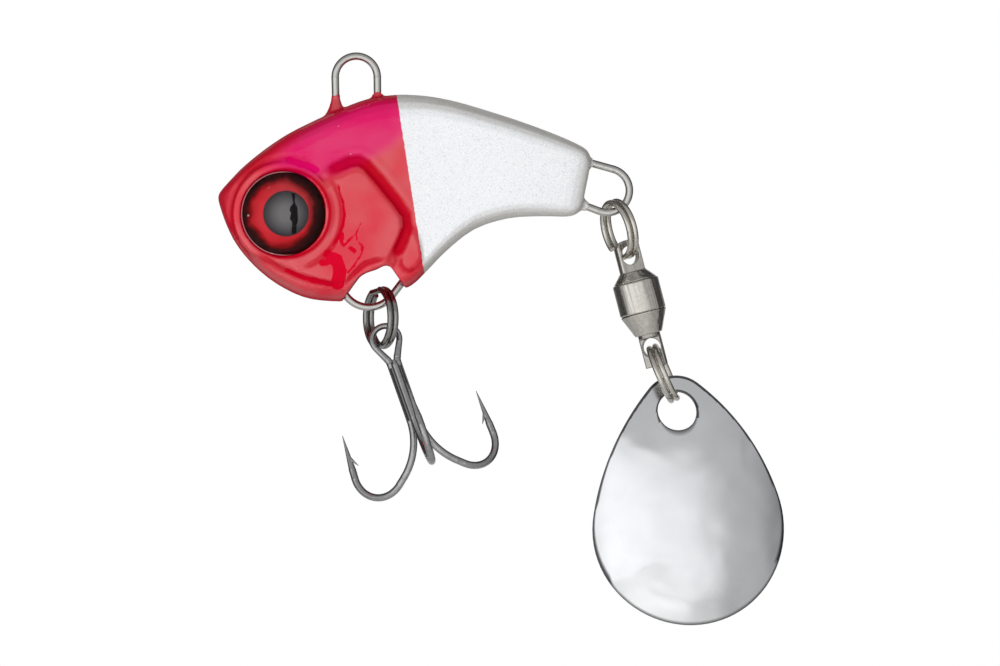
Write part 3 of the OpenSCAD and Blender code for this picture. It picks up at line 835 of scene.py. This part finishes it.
def stand_in(piece: Piece, node: str, body: Body) -> Piece:
    """Lets a piece ride on a body in a CAD node's place, and reports it.

    Args:
        piece: the piece.
        node: the node's name.
        body: the body that it rides on.

    Returns:
        The piece.
    """
    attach(piece, body.value)
    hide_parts(node)
    log.info("%s: %d faces", piece.name, len(piece.data.polygons))
    return piece


def welded(node: str) -> bmesh.types.BMesh:
    """Copies a CAD node's mesh with its loose corners welded.

    Args:
        node: the node's name.

    Returns:
        A new bmesh.
    """
    work = bmesh.new()
    work.from_mesh(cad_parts[node].data)
    bmesh.ops.remove_doubles(work, verts=work.verts, dist=WELD)
    return work


def smooth_copy(
    node: str, finish: Material, body: Body, crease_deg: float = CREASE_DEG
) -> Piece:
    """Stands a smooth-shaded copy of a CAD node in its place.

    Args:
        node: the node's name.
        finish: the copy's material.
        body: the body that it rides on.
        crease_deg: edges that turn more than this stay sharp.

    Returns:
        The new object.
    """
    piece = finish_piece(welded(node), f"{node}_skin", finish, crease_deg)
    return stand_in(piece, node, body)


def reskin(piece: Piece, voxel: float) -> None:
    """Rebuilds a piece's surface from small even quads.

    Args:
        piece: the piece.
        voxel: their size in millimetres.
    """
    remesh = piece.modifiers.new("skin", "REMESH")
    remesh.mode = "VOXEL"
    remesh.voxel_size = voxel * MM
    remesh.use_smooth_shade = True
    settle(piece)


def soften(piece: Piece, passes: int, group: str = "") -> None:
    """Smooths a piece's surface.

    Args:
        piece: the piece.
        passes: how often it is smoothed.
        group: the vertex group that weights it, if any.
    """
    flow = piece.modifiers.new("flow", "SMOOTH")
    flow.factor = 0.5
    flow.iterations = passes
    flow.vertex_group = group
    settle(piece)


def settle(piece: Piece) -> None:
    """Makes the result of a piece's modifiers its mesh.

    Args:
        piece: the piece.
    """
    graph = bpy.context.evaluated_depsgraph_get()
    mesh = bpy.data.meshes.new_from_object(piece.evaluated_get(graph), depsgraph=graph)
    piece.modifiers.clear()
    old = piece.data
    piece.data = mesh
    bpy.data.meshes.remove(old)
    mesh.name = piece.name


@dataclass(frozen=True)
class Trace:
    """A line on each flank, by X and Z, along which the surface or the finish differs."""

    line: tuple[Pair, ...]
    half: float
    depth: float = 0.0
    # How much painted shade, drawn as pooled enamel, the line leaves
    pool: float = 0.0
    # Length over which its work fades in from each end
    fade: float = 1.2

    def gap(self, x: float, z: float) -> float:
        """Distance of a place from the line.

        Args:
            x: the place's X in millimetres.
            z: its Z in millimetres.

        Returns:
            The distance in millimetres.
        """
        best = math.inf
        for (x0, z0), (x1, z1) in zip(self.line, self.line[1:]):
            dx, dz = x1 - x0, z1 - z0
            share = ((x - x0) * dx + (z - z0) * dz) / (dx * dx + dz * dz)
            share = min(max(share, 0.0), 1.0)
            best = min(best, math.hypot(x - x0 - share * dx, z - z0 - share * dz))
        return best

    def strength(self, x: float, z: float) -> float:
        """Says how strongly a place is pressed.

        Args:
            x: the place's X in millimetres.
            z: its Z in millimetres.

        Returns:
            1 on the line, 0 at its edge and at its ends.
        """
        share = self.gap(x, z) / self.half
        if share >= 1:
            return 0.0
        end = min(math.hypot(x - self.line[i][0], z - self.line[i][1]) for i in (0, -1))
        return math.cos(share * math.pi / 2) ** 2 * min(end / self.fade, 1.0)

    def near(self, x: float, z: float, room: float) -> bool:
        """Says whether a place is inside the line's box, grown by some room."""
        xs, zs = zip(*self.line)
        return min(xs) - room < x < max(xs) + room and min(zs) - room < z < max(zs) + room


def arc_line(
    middle: Pair, radius: float, start_deg: float, end_deg: float, steps: int = 16
) -> tuple[Pair, ...]:
    """Gives the points of an arc in the X-Z plane.

    Args:
        middle: X and Z of its middle.
        radius: its radius.
        start_deg: its first bearing from +X towards +Z.
        end_deg: its last bearing.
        steps: number of chords.

    Returns:
        Its points.
    """
    turns = [math.radians(start_deg + (end_deg - start_deg) * i / steps) for i in range(steps + 1)]
    x, z = middle
    return tuple((x + radius * math.cos(t), z + radius * math.sin(t)) for t in turns)


# Radius of the foot of the eye's rim
RIM_R = 5.35
# Valleys (and, with a negative depth, swellings) of the enamelled flank
VALLEYS = (
    # Behind the raised gill plate, from the eye over its top and down its rear edge
    Trace(
        ((-2.9, -10.95), (-2.1, -10.4), (-0.6, -9.7), (0.3, -9.6), (1.05, -10.0), (2.4, -11.55),
         (3.9, -13.45), (4.8, -14.75), (4.95, -15.9), (4.6, -17.0), (4.1, -18.0), (3.6, -19.1)),
        0.8, 0.3, 0.75,
    ),
    Trace(((-3.2, -9.9), (-2.0, -9.2), (-0.6, -8.75), (0.6, -8.7), (1.5, -9.2), (3.2, -11.0),
           (4.7, -13.0), (5.3, -14.1)), 0.7, -0.07),
    # Round the foot of the eye's rim
    Trace(arc_line(EYE_AT, RIM_R, -75.0, 40.0), 0.4, 0.12, 0.45),
    Trace(arc_line(EYE_AT, RIM_R, 60.0, 235.0), 0.45, 0.1, 0.25),
    # Along the belly opening and the chin
    Trace(((-1.3, -21.5), (-0.6, -20.85), (0.1, -20.05), (0.9, -19.35), (2.0, -19.0), (3.1, -18.9)),
          0.4, 0.14, 0.6),
    Trace(((-9.6, -18.2), (-7.5, -19.7), (-5.5, -20.6), (-3.5, -21.15), (-1.5, -21.5)),
          0.55, 0.16, 0.5),
    # Round the lobe under the gill
    Trace(((4.35, -18.6), (4.2, -19.5), (4.6, -20.0), (5.2, -20.1), (5.8, -19.7)),
          0.35, 0.08, 0.5, 0.6),
)
# Where the lacquer has run away: under the eye, down the gill plate and over the brow
RUNS = (
    Trace(((-1.6, -12.0), (-1.5, -12.8), (-1.2, -13.6), (-1.05, -14.6), (-1.15, -15.6),
           (-1.5, -16.5), (-2.1, -17.6), (-2.8, -18.4)), 0.13),
    Trace(((0.45, -15.7), (0.05, -16.5), (0.1, -17.1), (0.6, -17.7), (0.6, -18.4), (0.1, -19.2),
           (-0.7, -20.2)), 0.11),
    Trace(((0.0, -16.6), (-0.6, -17.1), (-1.0, -17.6), (-1.5, -17.7)), 0.1),
    Trace(((-1.3, -16.6), (-1.35, -17.3), (-1.2, -17.7)), 0.17),
    Trace(((-0.5, -17.9), (-0.1, -18.2)), 0.2),
    Trace(((-1.8, -19.0), (-1.5, -20.0), (-1.7, -21.2)), 0.65),
    Trace(((-3.2, -19.3), (-1.8, -19.1)), 0.32),
    Trace(((-2.7, -18.4), (-1.9, -18.7)), 0.4),
    Trace(((-6.5, -20.1), (-4.8, -20.8), (-2.8, -21.25), (-1.5, -21.5)), 0.25),
    Trace(((-6.4, -9.55), (-4.9, -10.05), (-3.7, -10.5)), 0.36),
)


@dataclass
class Casting:
    """The cast body under its enamel, whose edges the paint has rounded."""

    voxel: float = 0.13
    smooth_passes: int = 12
    # The thin coat on the rear has rounded its edges less, by X and by share
    dry_from: float = 3.5
    dry_to: float = 6.5
    dry_share: float = 0.03
    # Enamel pools round the eye's socket over this half width, drawn deeper in colour as painted
    # shade
    socket_r: float = 4.05
    socket_shade: float = 0.35
    # Width of the socket's edge that is left as it was cast
    socket_edge: float = 0.1
    # Half width of the soft edge of a lacquer run
    run_edge: float = 0.25
    # The traces are drawn on the flanks: where |Y| of the normal is above this, up to this X
    flank_from: float = 0.25
    flank_to: float = 6.5
    # Pooling and its painted shade follow the pressing this many times as strongly, up to its own
    # limit
    pool_gain: float = 1.7

    def build(self, enamel: Material) -> Piece:
        """Builds the painted skin from the casting.

        Args:
            enamel: its material.

        Returns:
            The skin.
        """
        name = "enamelled_casting"
        piece = finish_piece(welded("head_casting"), name, enamel, ALL_SOFT_DEG)
        reskin(piece, self.voxel)
        wet = piece.vertex_groups.new(name="wet")
        for vertex in piece.data.vertices:
            behind = (vertex.co.x / MM - self.dry_from) / (self.dry_to - self.dry_from)
            share = min(max(behind, 0.0), 1.0)
            wet.add([vertex.index], 1 + (self.dry_share - 1) * share, "REPLACE")
        soften(piece, self.smooth_passes, wet.name)
        self.press(piece.data)
        return stand_in(piece, "head_casting", Body.HEAD)

    def press(self, mesh: bpy.types.Mesh) -> None:
        """Presses the valleys into both flanks and notes where enamel pools, drawn as painted
        shade, and where lacquer has run.

        Args:
            mesh: the skin's mesh.
        """
        bare = mesh.attributes.new("bare", "FLOAT", "POINT")
        pool = mesh.attributes.new("pool", "FLOAT", "POINT")
        normals = [v.normal.copy() for v in mesh.vertices]
        for vertex, normal in zip(mesh.vertices, normals):
            x, z = vertex.co.x / MM, vertex.co.z / MM
            if abs(normal.y) < self.flank_from or x > self.flank_to:
                continue
            from_eye = math.hypot(x - EYE_AT[0], z - EYE_AT[1])
            if from_eye < self.socket_r - self.socket_edge:
                continue
            sunk = 0.0
            off_rim = abs(from_eye - self.socket_r - self.socket_edge)
            deep = max(0.0, 1 - off_rim / self.socket_shade)
            for trace in VALLEYS:
                if trace.near(x, z, trace.half):
                    share = trace.strength(x, z)
                    sunk += trace.depth * share
                    deep = max(deep, trace.pool * min(self.pool_gain * share, 1.0))
            torn = 0.0
            for trace in RUNS:
                if trace.near(x, z, trace.half + self.run_edge):
                    over = (trace.half - trace.gap(x, z)) / (2 * self.run_edge)
                    torn = max(torn, min(0.5 + over, 1.0))
            vertex.co -= normal * sunk * MM
            bare.data[vertex.index].value = torn
            pool.data[vertex.index].value = deep


@dataclass
class Eye:
    """One eye: a foil disc with a raised lip in the bottom of its socket, under a domed lens."""

    yaw_deg: float = 4.0
    radius: float = 4.0
    floor: float = 3.36
    foil_t: float = 0.35
    lip_w: float = 0.1
    skirt_top: float = 4.31
    dome_h: float = 1.5
    round_r: float = 0.1
    # Room around the foil in its socket
    room: float = 0.02
    # Height of the round of the foil's lip, and how deep the lens is bedded in the foil
    lip_h: float = 0.03
    bed: float = 0.03
    around: int = 96
    dome_steps: int = 28
    crease_deg: float = 60.0

    def place(self, side: Side) -> Matrix:
        """Gives the matrix from a drawing along +Z to one side of the head.

        Args:
            side: the side of the head.

        Returns:
            The matrix.
        """
        sign = -side.value
        return (
            Matrix.Translation(Vector((EYE_AT[0], 0.0, EYE_AT[1])) * MM)
            @ Matrix.Rotation(math.radians(-sign * self.yaw_deg), 4, "Z")
            @ Matrix.Rotation(math.radians(sign * 90), 4, "X")
        )

    def spun(self, profile: list[Pair], side: Side) -> bmesh.types.BMesh:
        """Spins a profile about the eye's axis.

        Args:
            profile: radius and height of each corner in millimetres, from axis to axis.
            side: the side of the head.

        Returns:
            The closed solid, in place.
        """
        work = bmesh.new()
        line = [work.verts.new(Vector((r, 0.0, z)) * MM) for r, z in profile]
        edges = [work.edges.new(pair) for pair in zip(line, line[1:])]
        bmesh.ops.spin(
            work,
            geom=line + edges,
            cent=(0.0, 0.0, 0.0),
            axis=(0.0, 0.0, 1.0),
            angle=math.tau,
            steps=self.around,
            use_merge=True,
        )
        bmesh.ops.remove_doubles(work, verts=work.verts, dist=WELD)
        bmesh.ops.recalc_face_normals(work, faces=work.faces)
        bmesh.ops.transform(work, matrix=self.place(side), verts=work.verts)
        return work

    def foil(self, side: Side, finish: Material) -> Piece:
        """Builds the printed disc.

        Args:
            side: the side of the head.
            finish: its material.

        Returns:
            The disc.
        """
        top = self.floor + self.foil_t
        r = self.radius - self.room
        inner = r - self.lip_w
        profile = [
            (0.0, self.floor),
            (r, self.floor),
            (r, self.skirt_top - self.lip_h),
            (r - 0.4 * self.lip_w, self.skirt_top),
            (inner, self.skirt_top - self.lip_h),
            (inner, top),
            (0.6 * r, top),
            (0.3 * r, top),
            (0.0, top),
        ]
        word = side.name.lower()
        piece = finish_piece(self.spun(profile, side), f"{word}_foil", finish)
        return stand_in(piece, f"{word}_eye_iris", Body.HEAD)

    def lens(self, side: Side, finish: Material) -> Piece:
        """Builds the lens, whose foot is bedded in the foil.

        Args:
            side: the side of the head.
            finish: its material.

        Returns:
            The lens.
        """
        foot = self.floor + self.foil_t - self.bed
        r = self.radius - self.lip_w
        ball = (r**2 + self.dome_h**2) / (2 * self.dome_h)
        hub = self.skirt_top + self.dome_h - ball
        profile = [(0.0, foot), (r, foot), (r, self.skirt_top - self.round_r)]
        start = math.asin(r / ball)
        for step in range(self.dome_steps + 1):
            angle = start * (1 - step / self.dome_steps)
            profile.append((ball * math.sin(angle), hub + ball * math.cos(angle)))
        # The corner between the wall and the dome is rounded off
        profile[3] = (r - 0.3 * self.round_r, self.skirt_top - 0.2 * self.round_r)
        profile[-1] = (0.0, hub + ball)
        word = side.name.lower()
        solid = self.spun(profile, side)
        piece = finish_piece(solid, f"{word}_lens", finish, self.crease_deg)
        return stand_in(piece, f"{word}_eye_dome", Body.HEAD)


@dataclass
class Blade:
    """The dished teardrop blade, in its own frame: hole at the origin, length down -Z."""

    length: float = 23.9
    width: float = 18.4
    thick: float = 0.44
    hole_d: float = 3.76
    hole_in: float = 3.35
    side_share: float = 2.6
    long_r: float = 40.0
    cross_r: float = 16.0
    dish_below: float = 0.8
    lean_deg: float = 6.3
    yaw_deg: float = 8.0
    crease_deg: float = 60.0
    around: int = 192
    rings: int = 44
    # Under 1, the rings lie closer together towards the outline
    crowding: float = 0.9
    # How far it hangs from the middle of its box, which centres its hole on the joint
    hang: Triple = (0.0, -0.03, 0.06)
    # The round of the rim: edges that turn more than its angle get it
    rim_r: float = 0.16
    rim_steps: int = 3
    rim_from_deg: float = 50.0
    # How far the polished rim stays inside the pressed size
    slack: float = 0.02
    # Width of the dark border along the rim, a painted reflection of the dark sides
    rim_shade_w: float = 0.19

    def outline_r(self, angle: float) -> float:
        """Distance from the hole's middle to the outline.

        Args:
            angle: from the top, in radians.

        Returns:
            The distance in millimetres.
        """
        low_r = self.width / 2
        low_z = -(self.length - self.hole_in - low_r)
        side_r = self.side_share * low_r
        a, b = side_r - self.hole_in, side_r - low_r
        side_z = (a * a - b * b + low_z * low_z) / (2 * low_z)
        side_x = -math.sqrt(a * a - side_z * side_z)
        way = Vector((math.sin(angle), math.cos(angle)))
        way.x = abs(way.x)
        reaches = []
        for centre, radius in (
            (Vector((0.0, 0.0)), self.hole_in),
            (Vector((side_x, side_z)), side_r),
            (Vector((0.0, low_z)), low_r),
        ):
            along = way.dot(centre)
            gap = along * along - centre.length_squared + radius * radius
            reaches.append(along + math.sqrt(max(gap, 0.0)))
        # Each arc holds between its tangent points, as seen from the hole
        side = Vector((side_x, side_z))
        join_top = side + (Vector((0.0, 0.0)) - side).normalized() * side_r
        join_low = side + (Vector((0.0, low_z)) - side).normalized() * side_r
        bearing = math.atan2(way.x, way.y)
        if bearing < math.atan2(join_top.x, join_top.y):
            return reaches[0]
        if bearing < math.atan2(join_low.x, join_low.y):
            return reaches[1]
        return reaches[2]

    def dish(self, x: float, z: float) -> float:
        """How far the sheet's middle lies towards +Y at a place on it.

        Args:
            x: across the blade, in millimetres.
            z: along it, in millimetres.

        Returns:
            The distance in millimetres, none at the hole's middle.
        """
        return self.depth(x, z) - self.depth(0.0, 0.0)

    def depth(self, x: float, z: float) -> float:
        """Depth of the press tool, a barrel lying along the blade, at a place.

        Args:
            x: across the blade, in millimetres.
            z: along it, in millimetres.

        Returns:
            The depth in millimetres, from the tool's lowest point.
        """
        from_vertex = z + self.length - self.hole_in - self.width / 2 - self.dish_below
        reach = self.long_r - self.cross_r + math.sqrt(max(self.cross_r**2 - x * x, 0.0))
        return self.long_r - math.sqrt(max(reach * reach - from_vertex**2, 0.0))

    def sheet(self) -> bmesh.types.BMesh:
        """Draws the middle of the dished sheet, ring by ring from the hole to the outline.

        Returns:
            The open mesh.
        """
        work = bmesh.new()
        made = bmesh.ops.create_circle(work, segments=self.around, radius=1.0)
        angles = {v: math.atan2(v.co.x, v.co.y) for v in made["verts"]}
        ring = list(work.edges)
        for step in range(self.rings + 1):
            if step:
                grown = bmesh.ops.extrude_edge_only(work, edges=ring)["geom"]
                ring = [g for g in grown if isinstance(g, bmesh.types.BMEdge)]
                ring = [e for e in ring if all(v not in angles for v in e.verts)]
                angles |= {v: math.atan2(v.co.x, v.co.z) for e in ring for v in e.verts}
            share = (step / self.rings) ** self.crowding
            for v in {v for e in ring for v in e.verts}:
                angle = angles[v]
                radius = self.hole_d / 2 + (self.outline_r(angle) - self.hole_d / 2) * share
                x, z = radius * math.sin(angle), radius * math.cos(angle)
                v.co = Vector((x, self.dish(x, z), z)) * MM
        bmesh.ops.recalc_face_normals(work, faces=work.faces)
        return work

    def mark_rim_shade(self, mesh: bpy.types.Mesh) -> None:
        """Notes the band along the outline and round the hole where a dark reflection is painted.

        Args:
            mesh: the blade's mesh, in its own frame.
        """
        cut = mesh.attributes.new("cut", "FLOAT", "POINT")
        for vertex in mesh.vertices:
            x, z = vertex.co.x / MM, vertex.co.z / MM
            reach = math.hypot(x, z)
            inside = min(self.outline_r(math.atan2(x, z)) - reach, reach - self.hole_d / 2)
            cut.data[vertex.index].value = float(inside < self.rim_shade_w)

    def hang_up(self, mesh: bpy.types.Mesh) -> None:
        """Turns the blade as it hangs and fits it into the box of the CAD blade.

        Args:
            mesh: the blade's mesh, in its own frame.
        """
        lean = Matrix.Rotation(math.radians(-self.lean_deg), 4, "Y")
        mesh.transform(lean @ Matrix.Rotation(math.radians(self.yaw_deg), 4, "Z"))
        low, high = (Vector(corner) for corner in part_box("blade"))
        first, last = (
            Vector([end(v.co[i] for v in mesh.vertices) for i in range(3)]) for end in (min, max)
        )
        fit = min((high[i] - low[i] - self.slack * MM) / (last[i] - first[i]) for i in range(3))
        fit = min(fit, 1.0)
        log.info("blade fitted by %.4f", fit)
        mesh.transform(Matrix.Scale(fit, 4))
        middle = (low + high - (first + last) * fit) / 2
        mesh.transform(Matrix.Translation(middle + Vector(self.hang) * MM))

    def build(self, finish: Material) -> Piece:
        """Builds the blade.

        Args:
            finish: its material.

        Returns:
            The blade.
        """
        sheet = self.sheet()
        piece = finish_piece(sheet, "spinner_blade", finish, self.crease_deg)
        wall = piece.modifiers.new("sheet", "SOLIDIFY")
        wall.thickness = self.thick * MM
        wall.offset = 0.0
        wall.use_even_offset = True
        rim = piece.modifiers.new("rim", "BEVEL")
        rim.width = self.rim_r * MM
        rim.segments = self.rim_steps
        rim.limit_method = "ANGLE"
        rim.angle_limit = math.radians(self.rim_from_deg)
        settle(piece)
        self.mark_rim_shade(piece.data)
        self.hang_up(piece.data)
        return stand_in(piece, "blade", Body.BLADE)


@dataclass
class Harness:
    """The bent wire that runs through the casting."""

    crease_deg: float = CREASE_DEG

    def build(self) -> None:
        """Builds the wire."""
        wire = HARNESS_WIRE.build()
        smooth_copy("wire_harness", wire, Body.HEAD, self.crease_deg)


@dataclass
class SplitRings:
    """The three split rings that hang the treble, the swivel and the blade."""

    crease_deg: float = CREASE_DEG

    def build(self) -> None:
        """Builds the rings."""
        dark, bright = SHADED_RING_WIRE.build(), RING_WIRE.build()
        for node, wire, body in (
            # The belly ring gets the darker copy, as painted shade
            ("belly_split_ring", dark, Body.BELLY_RING),
            ("tail_split_ring", bright, Body.TAIL_RING),
            ("blade_split_ring", bright, Body.BLADE_RING),
        ):
            smooth_copy(node, wire, body, self.crease_deg)


@dataclass
class Treble:
    """The treble hook: a double hook, a single hook and the braze between their shanks."""

    crease_deg: float = CREASE_DEG

    def build(self) -> None:
        """Builds the hooks and the braze."""
        plate = HOOK_WIRE.build()
        for node in ("treble_double_hook", "treble_single_hook"):
            smooth_copy(node, plate, Body.TREBLE, self.crease_deg)
        smooth_copy("treble_braze", plate, Body.TREBLE, self.crease_deg)


@dataclass
class Swivel:
    """The ball bearing swivel: lug, crimped barrel and cap, shaft and balls."""

    voxel: float = 0.06
    passes: int = 4

    def build(self) -> None:
        """Builds the swivel's pieces."""
        drawn, stamped = SWIVEL_METAL.build(), SHADED_SHAFT_METAL.build()
        for node, plate, body in (
            ("swivel_upper_lug", drawn, Body.SWIVEL),
            ("swivel_barrel", drawn, Body.SWIVEL),
            ("swivel_cap", drawn, Body.SWIVEL),
            ("swivel_shaft", stamped, Body.SHAFT),
        ):
            # The edges have been tumbled round
            piece = smooth_copy(node, plate, body, ALL_SOFT_DEG)
            reskin(piece, self.voxel)
            soften(piece, self.passes)
        steel = BALL_STEEL.build()
        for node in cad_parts:
            if node.startswith("swivel_ball_"):
                smooth_copy(node, steel, Body.BALLS)


@dataclass
class Lure:
    """The whole lure: every sub-assembly in its finish."""

    def build(self) -> None:
        """Builds every sub-assembly."""
        Casting().build(BodyEnamel().build())
        foil, resin = EyeFoil().build(), LensResin().build()
        for side in Side:
            Eye().foil(side, foil)
            Eye().lens(side, resin)
        Harness().build()
        SplitRings().build()
        Treble().build()
        Swivel().build()
        Blade().build(BladePlate().build())


# ---- Studio ------------------------------------------------------------------------------------
@dataclass
class Studio:
    """The camera, the lamps, the floor and the surroundings that the metal reflects."""

    middle: Pair = (13.656, -25.935)
    frame_w: float = 95.0
    lens: float = 400.0
    sensor: float = 36.0
    floor_z: float = -300.0
    floor_r: float = 800.0
    # Shares of the floor's radius between which it fades into the backdrop
    floor_fade: Pair = (0.2, 0.95)
    softbox_m: float = 0.6
    front_way: Triple = (-0.12, -0.7, 0.12)
    back_way: Triple = (0.1, 0.75, 0.25)
    front_watts: float = 4.6
    back_watts: float = 2.0
    ambient: float = 0.25
    # What gloss sees of the front softbox: its limits along an axis and half the width of its
    # edge. It reaches further to the left and down than to the right and up
    softbox_edges: tuple[tuple[str, float, float, float], ...] = (
        ("X", -0.8, 0.52, 0.2),
        ("Z", -0.72, 0.33, 0.05),
        ("Y", -2.0, -0.15, 0.1),
    )
    # Its brightness straight on, and how much brighter it is towards its lower left corner
    softbox_level: float = 1.06
    softbox_lean: Triple = (-0.26, 0.0, -0.3)

    def build(self) -> None:
        """Builds the studio."""
        self.camera()
        self.lamp("front_softbox", Vector(self.front_way), self.front_watts)
        self.lamp("back_softbox", Vector(self.back_way), self.back_watts)
        self.floor()
        self.surroundings()

    def camera(self) -> None:
        """Sets the camera level with the lure, on its left side."""
        data = bpy.data.cameras.new("camera")
        data.lens = self.lens
        data.sensor_width = self.sensor
        data.clip_start = 0.01
        data.clip_end = 20.0
        camera = bpy.data.objects.new("camera", data)
        back = self.frame_w * self.lens / self.sensor
        camera.location = Vector((self.middle[0], -back, self.middle[1])) * MM
        camera.rotation_euler = (math.radians(90), 0.0, 0.0)
        bpy.context.scene.collection.objects.link(camera)
        bpy.context.scene.camera = camera

    def lamp(self, name: str, way: Vector, watts: float) -> None:
        """Sets a softbox that only lights: gloss shows the surroundings instead.

        Args:
            name: its name.
            way: from the lure to it, in metres.
            watts: its power.
        """
        data = bpy.data.lights.new(name, "AREA")
        data.shape = "SQUARE"
        data.size = self.softbox_m
        data.energy = watts
        lamp = bpy.data.objects.new(name, data)
        lamp.location = Vector((self.middle[0], 0.0, self.middle[1])) * MM + way
        lamp.rotation_euler = way.to_track_quat("Z", "Y").to_euler()
        lamp.visible_camera = False
        lamp.visible_glossy = False
        lamp.visible_transmission = False
        bpy.context.scene.collection.objects.link(lamp)

    def card(self) -> Material:
        """Builds the floor's material: pale card that fades into a glow at its edge.

        Returns:
            The new material.
        """
        material, net, shader = start_material("pale_card")
        tooth = net.relief(net.noise(0.6), 0.1, 0.02)
        net.feed(shader, {"Base Color": "F4F4F2", "Roughness": 0.9, "Normal": tooth})
        glow = net.add_node("ShaderNodeEmission", {"Color": "FFFFFF", "Strength": 1.0})
        reach = net.reach(net.coords, (1.0, 1.0, 0.0))
        first, last = (share * self.floor_r * MM for share in self.floor_fade)
        fade = net.remap(reach, first, last, 0.8, smooth=True)
        seen = net.add_node("ShaderNodeLightPath").outputs["Is Camera Ray"]
        parts = {0: net.product(seen, fade), 1: shader.outputs[0], 2: glow.outputs[0]}
        mix = net.add_node("ShaderNodeMixShader", parts)
        net.feed(net.tree.nodes["Material Output"], {"Surface": mix.outputs[0]})
        return material

    def floor(self) -> None:
        """Lays a pale floor well below the hanging lure."""
        work = bmesh.new()
        bmesh.ops.create_circle(work, cap_ends=True, segments=96, radius=self.floor_r * MM)
        centre = Vector((self.middle[0], 0.0, self.floor_z)) * MM
        bmesh.ops.translate(work, verts=work.verts, vec=centre)
        mesh = bpy.data.meshes.new("floor")
        work.to_mesh(mesh)
        work.free()
        mesh.materials.append(self.card())
        card = bpy.data.objects.new("floor", mesh)
        bpy.context.scene.collection.objects.link(card)

    def band(self, net: Net, value: Socket, low: float, high: float, soft: float) -> Socket:
        """Adds a soft-edged mask of a value between two limits.

        Args:
            net: the nodes.
            value: the value's socket.
            low: the lower limit.
            high: the upper limit.
            soft: half width of each edge.

        Returns:
            The mask's socket.
        """
        rise = net.remap(value, low - soft, low + soft, smooth=True)
        fall = net.remap(value, high + soft, high - soft, smooth=True)
        return net.product(rise, fall)

    def surroundings(self) -> None:
        """Makes the world: a white backdrop, and for gloss a dim room with a big softbox."""
        world = bpy.data.worlds.new("studio")
        bpy.context.scene.world = world
        world.use_nodes = True
        net = Net(world.node_tree, "Generated")
        way = net.coords
        parts = net.axes(way)
        shades = [
            (0.0, "C8C8C8"), (0.05, "C8C8C8"), (0.09, "4A4A4A"), (0.42, "484848"), (0.55, "949494"),
            (0.7, "BABABA"), (0.88, "C4C4C4"), (1.0, "C8C8C8"),
        ]
        room = net.ramp(net.remap(parts["Y"], 1.0, -1.0), shades)
        edges = self.softbox_edges
        box = net.product(*(self.band(net, parts[name], *limits) for name, *limits in edges))
        lean = net.vector_maths("DOT_PRODUCT", way, self.softbox_lean)
        level = net.maths("ADD", lean, self.softbox_level)
        bright = net.add_node("ShaderNodeCombineXYZ", {i: level for i in range(3)})
        glossy = net.blend(box, room, bright.outputs[0])
        dim = (self.ambient, self.ambient, self.ambient, 1.0)
        rays = net.add_node("ShaderNodeLightPath").outputs
        plain = net.blend(rays["Is Glossy Ray"], dim, glossy)
        clear = net.maths("MAXIMUM", rays["Is Camera Ray"], rays["Is Transmission Ray"])
        inputs = {"Color": net.blend(clear, plain, "FFFFFF"), "Strength": 1.0}
        net.feed(net.tree.nodes["Background"], inputs)
        bpy.context.scene.view_settings.view_transform = "Standard"


def main() -> None:
    """Builds the scene."""
    logging.basicConfig(level=logging.INFO, format="%(message)s")
    Studio().build()
    Lure().build()


if __name__ == "__main__":
    main()
